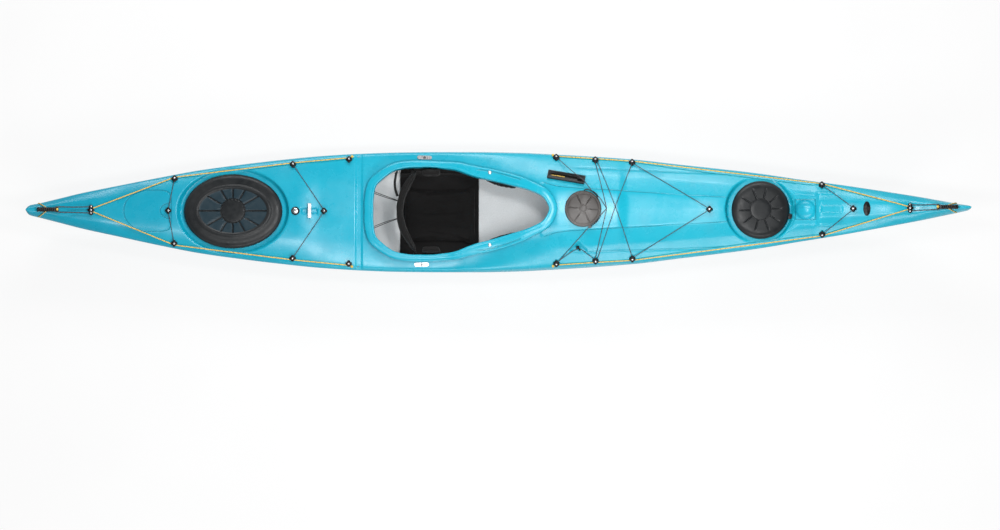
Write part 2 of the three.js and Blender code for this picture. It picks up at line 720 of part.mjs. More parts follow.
// A lobed eye with a drawn-in waist, bored by each cord that passes it
const eyePoints = 12;
function eyeBody(seat) {
  const levels = [[0, eyeRadius], [0.8, eyeRadius], [1, eyeWaist]];
  const rings = levels.map(([share, radius]) =>
    Array.from({ length: eyePoints }, (_, i) => {
      const turn = (2 * Math.PI * i) / eyePoints;
      const r = radius - eyeLobeDepth * (0.5 + 0.5 * Math.cos(eyeLobes * turn));
      return vec(r * Math.cos(turn), r * Math.sin(turn), share * eyeHeight).applyMatrix4(seat);
    }),
  );
  return loft(rings);
}
for (const { name, ways } of laid) {
  let cord = tube(ways[0], lineRadius);
  if (ways[1]) cord = cord.add(tube(ways[1], lineRadius));
  const yellow = name.endsWith("line");
  if (yellow) {
    cord = cord.add(knotAt(ways[0][0]));
    cord = cord.add(knotAt(ways[0][ways[0].length - 1]));
  }
  add(name, cord, yellow ? yellowCord : elasticCord);
}

// Skeg cable, from the slider down inside the port side to the skeg box
const cableInside = cableShares.map(([a, b, c]) => vec(a * halfLength, b * halfBeam, c * hullHeight));
const cableTop = vec(cableTopShares[0] * halfLength, cableTopShares[1] * halfBeam, 0);
cableTop.z = deckZ(cableTop.x, cableTop.y) - cableRadius;
const cableEnd = cableInside.at(-1).clone().setX(skegFront + fitGap).setY(0);
const cableRoute = [cableTop, ...cableInside, cableEnd];
const cable = tube(cableRoute, cableRadius);
const cableWay = cableRoute[0].clone().sub(cableRoute[1]).setLength(overrun);
const cableBore = tube([cableRoute[0].clone().add(cableWay), ...cableRoute], cableRadius + boreClearance);
add("skeg_cable", cable, blackPlastic);

function tipBore(hole) {
  const reach = vec(0, halfBeam, 0);
  return tube([hole.clone().sub(reach), hole.clone().add(reach)], toggleCordRadius + tipClearance);
}

const sternHole = vec(sternHoleX, 0, sternHoleZ);
const bowHole = vec(bowHoleX, 0, bowHoleZ);

// Deck: the upper half less the cockpit, the hatches, the cable's hole and the tips' holes
function deckShell() {
  const opening = plate(
    cockpitEdge(coamingWall + fitGap).map(({ grown }) => [grown.x, grown.y]),
    hullHeight,
  );
  opening.translate(0, 0, podFloor);
  const podReach = podRadius + fitGap;
  const podHole = [[0, podFloor], [podReach, podFloor], [podReach, hullHeight], [0, hullHeight]];
  return shellHalf(true)
    .subtract(inside)
    .subtract(solidFrom(opening))
    .subtract(deckHole(rearHatch, fitGap))
    .subtract(deckHole(frontHatch, fitGap))
    .subtract(turned(podHole, dayHatchX, 0, 1, podSides))
    .subtract(cableBore)
    .subtract(tipBore(sternHole))
    .subtract(tipBore(bowHole));
}
const deckSolid = deckShell();
add("deck", deckSolid, hullPlastic);
// What stands on the deck is trimmed to its faces, less the gap
const raisedDeck = deckSolid.translate([0, 0, fitGap]);

for (const { name, seat } of eyes) {
  let body = eyeBody(seat).subtract(raisedDeck);
  bores.forEach((bore) => {
    body = body.subtract(bore);
  });
  add(`deck_eye_${name}`, body, blackPlastic);
}

// Coaming: a wall through the deck's opening with a lip that the spray cover holds to
function coaming() {
  const lipAt = (x) => {
    const t = (x - cockpitBack) / cockpitLength;
    const back = mix(coamingLipBack, coamingLipSide, Math.min(1, t * 6));
    return t < 0.5 ? back : mix(coamingLipSide, coamingLipFront, Math.max(0, (t - 0.75) / 0.25));
  };
  const rings = cockpitEdge(0).map(({ at, out }) => {
    const far = (distance, z) => {
      const point = at.clone().addScaledVector(out, distance);
      return vec(point.x, point.y, z);
    };
    const outer = at.clone().addScaledVector(out, coamingWall);
    const foot = deckZ(outer.x, outer.y) - shellWall - coamingDrop;
    const lip = lipAt(at.x);
    const tip = at.clone().addScaledVector(out, lip);
    const top = along(coamingTopShares, at.x / halfLength) * hullHeight;
    const edge = Math.max(top - coamingLip, deckZ(tip.x, tip.y) + coamingLip);
    return [
      far(0, foot),
      far(coamingWall, foot),
      far(coamingWall, top - coamingLip),
      far(lip, edge - coamingLip / 2),
      far(lip, edge + coamingLip / 2),
      far(coamingWall, top),
      far(0, top - coamingLip / 2),
    ];
  });
  return loft(rings, true);
}
add("cockpit_coaming", coaming(), hullPlastic);

// Hatch rim: an outer wall flush with the deck, a floor, and the neck that the lid grips
const rimSteps = 28;
function hatchRim(hatch) {
  const rings = Array.from({ length: rimSteps }, (_, i) => {
    const turn = (2 * Math.PI * i) / rimSteps;
    const at = (inset, z) => {
      const long = hatch.long + hatch.margin - inset;
      const wide = hatch.wide + hatch.margin - inset;
      return vec(hatch.x + long * Math.cos(turn), wide * Math.sin(turn), z);
    };
    const edge = at(0, 0);
    const brim = Math.max(deckZ(edge.x, edge.y), hatch.floor + fitGap);
    const neck = hatch.margin + hatchNeckInset;
    return [
      at(0, hatch.floor - hatchWall),
      at(0, brim),
      at(hatchWall, brim),
      at(hatchWall, hatch.floor),
      at(neck - hatchWall, hatch.floor),
      at(neck - hatchWall, hatch.neck),
      at(neck, hatch.neck),
      at(neck, hatch.floor - hatchWall),
    ];
  });
  return loft(rings, true);
}
add("rear_hatch_rim", hatchRim(rearHatch), hullPlastic);
add("front_hatch_rim", hatchRim(frontHatch), hullPlastic);

// Rubber lid: a domed cover with a raised oval ridge and a skirt over the neck
function hatchLid(hatch, ridgeShare) {
  const under = hatch.neck + fitGap;
  const rim = hatch.long;
  const top = under + lidWall + lidCrown;
  const ridge = rim * ridgeShare;
  const profile = [
    [0, top],
    [ridge - 2 * lidWall, top - lidCrown / 2],
    [ridge, top],
    [ridge + 2 * lidWall, top - lidCrown / 2],
    [rim - 3 * lidWall, under + lidWall / 2],
    [rim, under - 2 * lidWall],
    [rim, hatch.skirt],
    [rim - lidWall, hatch.skirt],
    [rim - lidWall, under - 3 * lidWall],
    [rim - 4 * lidWall, under - lidWall],
    [rim - hatchNeckInset + lidWall, under],
    [0, under],
  ];
  return turned(profile, hatch.x, 0, hatch.wide / hatch.long);
}
add("rear_hatch_lid", hatchLid(rearHatch, 0.74), lidRubber);
add("front_hatch_lid", hatchLid(frontHatch, 0.66), lidRubber);

// Day hatch: a tub that hangs between the knees, and its small lid
add(
  "day_pod",
  turned(
    [
      [0, podFloor], [podRadius - podTaper, podFloor], [podRadius, podFloor + podTaper],
      [podRadius, podNeck], [podRadius - podNeckWall, podNeck],
      [podRadius - podNeckWall, podFloor + podTaper + podNeckWall],
      [podRadius - podTaper - podNeckWall, podFloor + podNeckWall], [0, podFloor + podNeckWall],
    ],
    dayHatchX,
    0,
    1,
    podSides,
  ),
  blackPlastic,
);
const dayLidWall = dayLidRadius - podRadius - fitGap;
add(
  "day_hatch_lid",
  turned(
    [
      [0, dayLidTop + podNeckWall / 2], [podRadius / 2, dayLidTop + podNeckWall / 2],
      [podRadius - podNeckWall, dayLidTop], [dayLidRadius, podNeck], [dayLidRadius, dayLidSkirt],
      [dayLidRadius - dayLidWall, dayLidSkirt], [dayLidRadius - dayLidWall, podNeck + fitGap],
      [0, podNeck + fitGap],
    ],
    dayHatchX,
    0,
    1,
    podSides,
  ),
  lidRubber,
);

// Bulkheads, cut to the inside of the shell
function bulkhead(x) {
  const faces = [x - bulkheadThickness / 2, x + bulkheadThickness / 2];
  return loft(faces.map((at) => outlineAt(at, shellWall + 2 * fitGap)));
}
add("rear_bulkhead", bulkhead(rearBulkheadX).subtract(cableBore), foamGrey);
add("front_bulkhead", bulkhead(frontBulkheadX), foamGrey);

// Seat: a pan that stands on the hull's floor with its sides up to the coaming
const seatFloor = shellWall + fitGap;
const seatStations = [0, 0.14, 0.17, 0.46, 0.5, 0.75, 1];
const seatSideShares = [[0, 0.45], [0.14, 0.6], [0.17, 1], [0.46, 1], [0.5, 0.6], [0.75, 0.42], [1, 0.22]];
function seatPath(inset) {
  return (t) => {
    const x = mix(seatBack, seatFront, t);
    const side = seatSideTop * along(seatSideShares, t);
    const low = seatFloor + inset;
    const wide = seatHalfWidth - inset;
    const half = [
      [seatFlat, low], [seatHalfWidth * 0.64, seatFloor + seatBilgeRise + inset],
      [wide * 0.93, seatFloor + seatTurnRise], [wide, seatFloor + seatUprightRise],
      [wide, Math.max(side, seatFloor + seatLeastSide)],
    ];
    return { x, half };
  };
}
function seatPan() {
  const outer = seatPath(0);
  const inner = seatPath(seatWall);
  const rings = seatStations.map((t) => {
    const out = outer(t);
    const shore = inner(t);
    const path = [...out.half.map(([y, z]) => [-y, z]).reverse(), ...out.half];
    const back = [...shore.half.slice().reverse(), ...shore.half.map(([y, z]) => [-y, z])];
    return [...path, ...back].map(([y, z]) => vec(out.x, y, z));
  });
  return loft(rings);
}
add("seat_pan", seatPan(), seatPlastic);

// Seat pad: crowned, drawn in at its sides, with grooves along it
const padAcross = 16;
const padAlong = 8;
function seatPad() {
  const rings = Array.from({ length: padAlong + 1 }, (_, i) => {
    const t = i / padAlong;
    const x = mix(seatBack + seatPadMargin, seatFront - seatPadMargin, t);
    const drawn = 1 - 0.06 * Math.sin(Math.PI * t);
    const crown = Math.sqrt(Math.sin(Math.PI * mix(0.12, 0.88, t)));
    const wide = seatPadHalfWidth * drawn;
    const rest = (y) => {
      const [flatY, flatZ] = [seatFlat, seatFloor + seatWall];
      const [sideAt, sideZ] = [seatHalfWidth * 0.64, seatFloor + seatBilgeRise + seatWall];
      const reach = Math.abs(y);
      if (reach <= flatY) return flatZ + fitGap;
      const slope = mix(flatZ, sideZ, (reach - flatY) / (sideAt - flatY));
      return slope + fitGap + Math.max(0, reach - sideAt) * 1.2;
    };
    const under = Array.from({ length: padAcross + 1 }, (_, k) => {
      const y = mix(-wide, wide, k / padAcross);
      return vec(x, y, rest(y) + fitGap);
    });
    const over = under.slice(1, -1).map((point) => {
      const s = point.y / wide;
      const bulge = seatPadCrown * crown * (1 - s * s);
      const groove = seatPadGroove * (0.5 - 0.5 * Math.cos(2 * Math.PI * seatPadGrooves * (0.5 + s / 2)));
      const edge = seatPadThickness * Math.sqrt(1 - s ** 6);
      return vec(point.x, point.y, point.z + edge + bulge - groove);
    });
    return [...under, ...over.reverse()];
  });
  return loft(rings);
}
add("seat_pad", seatPad(), padFabric);

// Backband: a curved crowned band that runs down to a strap at each side
const bandSteps = 16;
const bandRadiusShare = 0.97;
function backband() {
  const reach = seatHalfWidth - seatWall - fitGap;
  const rings = Array.from({ length: bandSteps + 1 }, (_, i) => {
    const s = mix(-1, 1, i / bandSteps);
    const y = s * reach;
    const x = backbandX + backbandDepth * s * s;
    const body = Math.sqrt(Math.max(0, 1 - Math.abs(s) ** 3.2));
    const top = mix(backbandHinge + backbandStrap / 2, backbandTop, body);
    const foot = mix(backbandHinge - backbandStrap / 2, backbandFoot, body);
    const thick = mix(backbandStrapThickness, backbandThickness, body * bandRadiusShare);
    const slope = (2 * backbandDepth * s) / reach;
    const lean = vec(1, -slope, 0).normalize().x;
    const half = thick / 2 / lean;
    const middle = (top + foot) / 2;
    return [
      vec(x - half * 0.7, y, foot + (middle - foot) * 0.12), vec(x, y, foot),
      vec(x + half * 0.7, y, foot + (middle - foot) * 0.12), vec(x + half, y, middle),
      vec(x + half * 0.7, y, top - (top - middle) * 0.15), vec(x, y, top),
      vec(x - half * 0.7, y, top - (top - middle) * 0.15), vec(x - half, y, middle),
    ];
  });
  return loft(rings);
}
add("backband", backband(), padFabric);

// Hip pads: flat foam pads on the seat's sides
function hipPad(side) {
  const outer = seatHalfWidth - seatWall - fitGap;
  const inner = outer - hipPadThickness;
  const rings = [[0, 1], [0.5, 0.5], [1, 0]].map(([share, grow]) => {
    const y = side * mix(outer, inner, share);
    const inset = hipPadEdge * (1 - grow);
    const x0 = hipPadBack + inset;
    const x1 = hipPadFront - inset;
    const z0 = hipPadLow + inset;
    const z1 = hipPadTop - inset;
    const cut = 2 * hipPadEdge;
    return [
      [x0 + cut, z0], [x1 - cut, z0], [x1, z0 + cut], [x1, z1 - cut],
      [x1 - cut, z1], [x0 + cut, z1], [x0, z1 - cut], [x0, z0 + cut],
    ].map(([x, z]) => vec(x, y, z));
  });
  return loft(rings);
}
add("hip_pad_port", hipPad(1), padFabric);
add("hip_pad_starboard", hipPad(-1), padFabric);

// Thigh braces: pads under the side deck, against the coaming's lower edge
const thighSteps = 5;
function cockpitHalf(x) {
  const share = (x - cockpitBack) / cockpitLength;
  return along(cockpitShares.slice(1), share) * cockpitHalfWidth;
}
function thighBrace(side) {
  const drop = shellWall + coamingDrop + 3 * fitGap;
  const rings = Array.from({ length: thighSteps }, (_, i) => {
    const t = i / (thighSteps - 1);
    const x = mix(thighBack, thighFront, t);
    const inner = cockpitHalf(x) - thighInset * Math.sin(Math.PI * mix(0.1, 0.9, t));
    const across = [0, 0.33, 0.66, 1].map((s) => inner + s * thighReach);
    const over = across.map((y) => vec(x, side * y, deckZ(x, y) - drop - 2 * fitGap));
    const under = over.map((p) => p.clone().sub(vec(0, 0, thighThickness)));
    return [...over, ...under.reverse()];
  });
  return loft(rings);
}
add("thigh_brace_port", thighBrace(1), padFabric);
add("thigh_brace_starboard", thighBrace(-1), padFabric);

// Foot rails along the hull's sides, and the pedals that slide on them
function railLine(side) {
  const low = railHeight - railDepth / 2;
  const ends = [railBack, railFront].map((x) => {
    const y = sideY(x, low) - 2 * shellWall;
    return vec(x, side * y, railHeight);
  });
  return ends;
}
const insideClear = loft(innerStations.map(({ x }) => outlineAt(x, shellWall + fitGap)));
const railOut = -3;
function footRail(side) {
  const ends = railLine(side);
  const bar = (low, high, out) =>
    loft(
      [low, high].map((x) => {
        const end = ends[0].clone().lerp(ends[1], (x - railBack) / (railFront - railBack));
        return [[out, -0.5], [out, 0.5], [1, 0.5], [1, -0.5]].map(([a, b]) =>
          vec(x, end.y - side * a * railThickness, end.z + b * railDepth),
        );
      }),
    );
  return bar(railBack, railFront, 0)
    .add(bar(railBack, railBack + railFootLength, railOut))
    .add(bar(railFront - railFootLength, railFront, railOut))
    .intersect(insideClear);
}
function footPedal(side) {
  const [aft, fore] = railLine(side);
  const way = fore.clone().sub(aft).normalize();
  const t = (pedalX - railBack) / (railFront - railBack);
  const middle = aft.clone().lerp(fore, t);
  const yaw = Math.atan2(way.y, way.x);
  const face = side * (railThickness + 2 * fitGap);
  const place = (low, high) => {
    const size = high.clone().sub(low);
    const geometry = new THREE.BoxGeometry(size.x, Math.abs(size.y), size.z);
    geometry.translate((low.x + high.x) / 2, (low.y + high.y) / 2, 0);
    geometry.translate(0, 0, (low.z + high.z) / 2 - middle.z);
    geometry.rotateZ(yaw);
    geometry.translate(middle.x, middle.y, middle.z);
    return solidFrom(geometry);
  };
  const shoe = place(
    vec(-pedalWidth / 2, -face, railHeight - railDepth / 2),
    vec(pedalWidth / 2, -face - side * pedalThickness, railHeight + railDepth / 2),
  );
  const step = place(
    vec(-pedalThickness / 2, -face, pedalFoot),
    vec(pedalThickness / 2, -face - side * pedalReach, pedalTop),
  );
  return shoe.add(step);
}
for (const [suffix, side] of [["port", 1], ["starboard", -1]]) {
  add(`foot_rail_${suffix}`, footRail(side), blackPlastic);
  add(`foot_pedal_${suffix}`, footPedal(side), blackPlastic);
}

// Skeg: a narrow box through the hull's floor, the blade in it and the pin it turns on
function skegBox() {
  const outer = uprightPlate(boxProfile(0), skegBoxWidth, 0);
  const cavity = boxProfile(-skegBoxWall).map(([x, z]) => [x, z < skegPivotZ ? z - overrun : z]);
  const inner = uprightPlate(cavity, skegBoxWidth - 2 * skegBoxWall, 0);
  const pin = tube(pinEnds(skegBoxWidth), skegPinRadius + pinClearance);
  return outer.subtract(inner).subtract(pin);
}
const pinEnds = (width) => [vec(skegPivotX, -width / 2, skegPivotZ), vec(skegPivotX, width / 2, skegPivotZ)];
add("skeg_box", skegBox(), blackPlastic);
function skegBlade() {
  const outline = bladeShares.map(([a, b]) => [
    skegPivotX + a * skegBladeLength,
    skegPivotZ + b * skegBladeLength,
  ]);
  const pin = tube(pinEnds(skegBoxWidth), skegPinRadius + pinClearance);
  return uprightPlate(outline, skegBladeWidth, 0).subtract(pin);
}
add("skeg_blade", skegBlade(), blackPlastic);
add("skeg_pivot_pin", tube(pinEnds(skegBoxWidth - fitGap), skegPinRadius), steel);

// Skeg slider: a slotted housing on the port foredeck, with a knob in its slot
function onSlider(lowX, highX, width, lowZ, highZ) {
  const geometry = new THREE.BoxGeometry(highX - lowX, width, highZ - lowZ);
  geometry.translate((lowX + highX) / 2, 0, (lowZ + highZ) / 2);
  geometry.applyMatrix4(sliderSeat);
  return solidFrom(geometry);
}
const slotEnd = sliderLength / 2 - sliderMargin;
const knobAft = slotEnd - knobLength - fitGap;
add(
  "skeg_slider_housing",
  onSlider(-sliderLength / 2, sliderLength / 2, sliderWidth, 0, sliderHeight).subtract(
    onSlider(-slotEnd, slotEnd, sliderSlot, sliderFloor, sliderHeight + overrun),
  ).subtract(raisedDeck),
  blackPlastic,
);
add(
  "skeg_slider_knob",
  onSlider(
    knobAft,
    knobAft + knobLength,
    sliderSlot - 2 * fitGap,
    sliderFloor + fitGap,
    sliderHeight + knobRise,
  ),
  blackPlastic,
);

// Security bar: a steel staple across the deck behind the cockpit
function securityBar() {
  const seat = deckSeat(barX, 0, 0, barWidth / 2, barSpan / 2);
  const shape = [
    [-barSpan / 2, 0], [-barSpan / 2 + barThickness, 0],
    [-barSpan / 2 + barThickness, barRise - barThickness],
    [barSpan / 2 - barThickness, barRise - barThickness], [barSpan / 2 - barThickness, 0],
    [barSpan / 2, 0], [barSpan / 2, barRise], [-barSpan / 2, barRise],
  ];
  const geometry = plate(shape, barWidth);
  geometry.translate(0, 0, -barWidth / 2);
  geometry.rotateX(Math.PI / 2);
  geometry.rotateZ(Math.PI / 2);
  geometry.applyMatrix4(seat);
  return solidFrom(geometry);
}
add("security_bar", securityBar(), steel);

// Carrying toggles: a curved grip on the deck and the cord that ties it through the tip
const gripSteps = 8;
const gripSides = 10;
function toggleGrip(hole, way) {
  const near = hole.x + way * toggleOffset;
  const rings = Array.from({ length: gripSteps + 1 }, (_, i) => {
    const t = i / gripSteps;
    const x = near + way * toggleLength * t;
    const round = Math.sqrt(Math.sin(Math.PI * mix(0.06, 0.94, t)));
    const low = deckZ(x, 0) + fitGap;
    const middle = low + (toggleHeight / 2) * 1.04;
    return Array.from({ length: gripSides }, (_, k) => {
      const turn = (2 * Math.PI * k) / gripSides;
      const y = (toggleWidth / 2) * round * Math.cos(turn);
      const z = middle + (toggleHeight / 2) * round * Math.sin(turn);
      return vec(x, y, Math.max(z, deckZ(x, y) + fitGap));
    });
  });
  return loft(rings);
}
function toggleCordWay(hole, way) {
  const at = (dx, y, dz) => vec(hole.x + way * dx, y, hole.z + dz);
  const wide = halfAt(hole.x)[knuckleIndex][0] + 2 * toggleCordRadius + fitGap;
  const top = deckZ(hole.x + way * toggleLength * 0.5, 0) + toggleHeight * 0.55 - hole.z;
  const port = [
    at(0, wide * 0.9, 0),
    at(toggleCordRadius, wide + toggleCordRadius, toggleCordRadius),
    at(toggleLength * 0.12, wide + 2 * toggleCordRadius, top * 0.45),
    at(toggleLength * 0.36, wide + toggleCordRadius, top * 0.92),
    at(toggleLength * 0.48, (wide + toggleWidth) / 2, top),
    at(toggleLength * 0.5, toggleWidth / 2 + 2 * fitGap, top),
  ];
  return [...port.map(mirrorPoint).reverse(), ...port];
}
for (const [name, hole, way] of [["stern", sternHole, 1], ["bow", bowHole, -1]]) {
  const route = toggleCordWay(hole, way);
  add(`${name}_toggle`, toggleGrip(hole, way), blackPlastic);
  add(`${name}_toggle_cord`, tube(route, toggleCordRadius, 6), yellowCord);
}

export default kayak;
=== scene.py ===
from math import atan2, copysign, cos, hypot, pi, radians, sin, sqrt

import bmesh
import bpy
from mathutils import Matrix, Vector, noise


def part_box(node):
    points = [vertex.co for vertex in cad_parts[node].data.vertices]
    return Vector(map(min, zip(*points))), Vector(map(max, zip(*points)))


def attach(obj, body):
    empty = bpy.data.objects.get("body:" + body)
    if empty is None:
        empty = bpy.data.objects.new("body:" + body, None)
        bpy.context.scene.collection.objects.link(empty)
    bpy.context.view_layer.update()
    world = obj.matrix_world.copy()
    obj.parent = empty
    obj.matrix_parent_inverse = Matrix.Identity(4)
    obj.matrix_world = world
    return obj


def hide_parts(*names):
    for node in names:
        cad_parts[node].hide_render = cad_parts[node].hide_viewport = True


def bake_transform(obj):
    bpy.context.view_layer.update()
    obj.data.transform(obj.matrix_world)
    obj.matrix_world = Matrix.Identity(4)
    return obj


bl_info = {
    "name": "Sea kayak", "version": (1, 0, 0), "blender": (4, 5, 0),
    "location": "3D View > Sidebar > Kayak",
    "description": "Dresses the packed sea kayak with its moulded shell, lids, seat and deck gear",
    "category": "Add Mesh",
}

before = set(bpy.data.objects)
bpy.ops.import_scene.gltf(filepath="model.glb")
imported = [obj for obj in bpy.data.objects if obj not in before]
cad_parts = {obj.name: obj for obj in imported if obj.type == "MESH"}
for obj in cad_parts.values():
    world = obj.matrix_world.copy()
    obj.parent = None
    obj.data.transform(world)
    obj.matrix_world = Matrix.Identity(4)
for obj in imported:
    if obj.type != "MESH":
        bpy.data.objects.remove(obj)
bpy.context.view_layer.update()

# Lines of the hull: a share of half the length, then a share of the size the table follows
BEAM_SHARES = (
    (-1, 0.05), (-0.9966, 0.072), (-0.971, 0.122), (-0.929, 0.204), (-0.886, 0.289), (-0.802, 0.428),
    (-0.717, 0.566), (-0.632, 0.691), (-0.547, 0.783), (-0.463, 0.862), (-0.378, 0.928),
    (-0.293, 0.97), (-0.208, 0.993), (-0.124, 1), (-0.04, 1), (0.046, 0.987), (0.131, 0.954),
    (0.215, 0.914), (0.3, 0.862), (0.385, 0.783), (0.47, 0.707), (0.554, 0.625), (0.639, 0.52),
    (0.724, 0.421), (0.808, 0.3125), (0.893, 0.197), (0.936, 0.132), (0.978, 0.066), (0.995, 0.04),
    (1, 0.026),
)
KEEL_SHARES = (
    (-1, 0.655), (-0.9975, 0.595), (-0.991, 0.516), (-0.975, 0.383), (-0.957, 0.252), (-0.946, 0.221),
    (-0.923, 0.2), (-0.823, 0.194), (-0.753, 0.176), (-0.741, 0.149), (-0.633, 0.124), (-0.482, 0.079),
    (-0.294, 0.034), (-0.22, 0), (0.16, 0), (0.236, 0.03), (0.3, 0.052), (0.512, 0.101),
    (0.679, 0.158), (0.766, 0.196), (0.844, 0.241), (0.875, 0.309), (0.898, 0.399), (0.921, 0.498),
    (0.9525, 0.622), (0.983, 0.779), (0.995, 0.854), (0.9975, 0.91), (1, 0.975),
)
KNUCKLE_SHARES = (
    (-1, 0.69), (-0.975, 0.64), (-0.907, 0.617), (-0.797, 0.572), (-0.719, 0.534), (-0.596, 0.5045),
    (-0.325, 0.48), (-0.29, 0.471), (-0.056, 0.468), (0.119, 0.482), (0.218, 0.498), (0.482, 0.561),
    (0.652, 0.637), (0.764, 0.723), (0.858, 0.793), (0.932, 0.84), (0.975, 0.87), (0.9915, 0.9),
    (0.9975, 0.95), (1, 0.985),
)
CROWN_SHARES = (
    (-1, 0.745), (-0.975, 0.725), (-0.93, 0.7), (-0.887, 0.687), (-0.8445, 0.673), (-0.784, 0.637),
    (-0.709, 0.622), (-0.66, 0.606), (-0.56, 0.598), (-0.427, 0.6), (-0.375, 0.574), (-0.33, 0.563),
    (-0.25, 0.545), (-0.15, 0.5405), (-0.1, 0.555), (-0.06, 0.604), (-0.016, 0.646), (0.042, 0.716),
    (0.1, 0.779), (0.129, 0.8), (0.253, 0.802), (0.2775, 0.777), (0.33, 0.766), (0.404, 0.757),
    (0.48, 0.764), (0.56, 0.761), (0.623, 0.766), (0.668, 0.77), (0.687, 0.806), (0.727, 0.811),
    (0.761, 0.8355), (0.787, 0.847), (0.844, 0.89), (0.8745, 0.899), (0.93, 0.968), (0.96, 0.984),
    (0.993, 1), (1, 1),
)
CHINE_BREADTH_SHARES = (
    (-1, 0.6), (-0.88, 0.5), (-0.7, 0.61), (-0.607, 0.69), (-0.276, 0.74), (-0.06, 0.773),
    (0.22, 0.776), (0.49, 0.766), (0.63, 0.745), (0.77, 0.68), (0.864, 0.625), (1, 0.6),
)
CHINE_HEIGHT_SHARES = (
    (-1, 0.5), (-0.7, 0.49), (-0.607, 0.39), (-0.458, 0.35), (-0.276, 0.306), (-0.06, 0.26),
    (0.22, 0.263), (0.49, 0.41), (0.63, 0.548), (0.77, 0.665), (0.864, 0.757), (0.95, 0.8), (1, 0.8),
)
FLAT_SHARES = (
    (-1, 0.04), (-0.9, 0.18), (-0.5, 0.5), (-0.22, 1), (0.16, 1), (0.5, 0.5), (0.9, 0.12), (1, 0.02),
)
EDGE_BREADTH_SHARES = ((-1, 0.88), (-0.86, 0.93), (-0.6, 0.95), (0.3, 0.955), (0.7, 0.93), (1, 0.85))
EDGE_HEIGHT_SHARES = (
    (-1, 0.5), (-0.8, 0.4), (-0.6, 0.36), (-0.43, 0.4), (-0.31, 0.55), (-0.17, 0.72), (0, 0.5),
    (0.125, 0.42), (0.21, 0.4), (0.29, 0.33), (0.7, 0.3), (0.87, 0.4), (1, 0.5),
)
CREASE_BREADTH_SHARES = (
    (-1, 0.45), (0, 0.45), (0.13, 0.36), (0.215, 0.331), (0.343, 0.308), (0.7, 0.3), (1, 0.42),
)
COCKPIT_SHARES = (
    (0, 0), (0, 0.24), (0.016, 0.58), (0.051, 0.73), (0.114, 0.91), (0.188, 0.986), (0.303, 1),
    (0.386, 0.98), (0.472, 0.927), (0.534, 0.832), (0.591, 0.755), (0.648, 0.7), (0.8, 0.536),
    (0.885, 0.436), (0.965, 0.27), (0.993, 0.1), (1, 0),
)
COAMING_TOP_SHARES = (
    (-0.29, 0.61), (-0.127, 0.61), (-0.06, 0.676), (-0.016, 0.71), (0.1, 0.851), (0.129, 0.831),
)
EYE_SHARES = (
    ("stern", -0.862, 0), ("aft", -0.6865, 0.53), ("aft_centre", -0.699, 0), ("rear", -0.435, 0.773),
    ("rear_centre", -0.3686, 0), ("seat", -0.316, 0.862), ("cockpit", 0.125, 0.868),
    ("knee", 0.208, 0.826), ("shin", 0.286, 0.789), ("foredeck_centre", 0.449, 0),
    ("fore", 0.688, 0.398), ("fore_centre", 0.753, 0), ("bow", 0.872, 0),
)
CREASE_HEIGHT_SHARE = 0.97
# The knuckle's place in a section's points, and half of the boat's length and beam for what is fixed to it
KNUCKLE = 5
HALF_LENGTH, HALF_BEAM = 2.36, 0.304

# Rows across the boat: from one place to the next, about so far apart
ROW_STEPS = (
    (-2.336, 0.006), (-1.9, 0.014), (-1.62, 0.008), (-1.03, 0.005), (-0.89, 0.0045), (-0.72, 0.009),
    (-0.66, 0.004), (0.33, 0.0075), (0.47, 0.0045), (1.1, 0.0085), (1.76, 0.005), (2.3, 0.013),
    (2.344, 0.006),
)
# Rows in the rounded ends, as shares of how far those reach
TIP_SHARES = (0.25, 0.5, 0.7, 0.85, 0.95, 1)
BOW_REACH, STERN_REACH = 0.016, 0.024

# Width of the coaming's face at places along the boat
LIP_WIDTHS = (
    (-0.672, 0.050), (-0.5, 0.037), (-0.32, 0.034), (-0.25, 0.037), (-0.19, 0.044), (-0.11, 0.054),
    (0.0, 0.058), (0.1, 0.0545), (0.165, 0.045), (0.258, 0.042),
)
# Profiles of the lids: long and wide radius, or the one of a round lid, and height over its base
REAR_LID_RINGS = (
    (0, 0, 0.0080), (0.030, 0.030, 0.0080), (0.052, 0.052, 0.0076), (0.0575, 0.0575, 0.0070),
    (0.0582, 0.0582, 0.0030), (0.0632, 0.0630, 0.0030), (0.0645, 0.0642, 0.0060), (0.085, 0.072, 0.0060),
    (0.110, 0.083, 0.0060), (0.135, 0.094, 0.0060), (0.158, 0.104, 0.0060), (0.168, 0.1085, 0.0060),
    (0.1715, 0.1115, 0.0066), (0.1745, 0.1145, 0.0092), (0.180, 0.1195, 0.0104), (0.186, 0.1245, 0.0104),
    (0.1915, 0.1290, 0.0088), (0.1945, 0.1320, 0.0052), (0.198, 0.1355, 0.0044), (0.210, 0.148, 0.0042),
    (0.222, 0.1605, 0.0030), (0.232, 0.1715, 0.0004), (0.240, 0.1795, -0.0040), (0.2452, 0.1847, -0.0105),
    (0.247, 0.1865, -0.0170), (0.247, 0.1865, -0.0265), (0.2455, 0.185, -0.0268), (0.242, 0.1815, -0.0262),
    (0.2415, 0.181, -0.015), (0.225, 0.165, -0.0045), (0.200, 0.140, -0.0005), (0, 0, -0.0005),
)
FRONT_LID_RINGS = (
    (0, 0.0082), (0.030, 0.0082), (0.046, 0.0080), (0.0498, 0.0072), (0.0510, 0.0042), (0.0540, 0.0042),
    (0.0552, 0.0078), (0.068, 0.0082), (0.082, 0.0082), (0.096, 0.0080), (0.106, 0.0074), (0.116, 0.0062),
    (0.126, 0.0036), (0.135, -0.0006), (0.1415, -0.0066), (0.1446, -0.0130), (0.145, -0.0180),
    (0.145, -0.0255), (0.1435, -0.0260), (0.141, -0.0258), (0.1405, -0.015), (0.126, -0.0045),
    (0.105, -0.0005), (0, -0.0005),
)
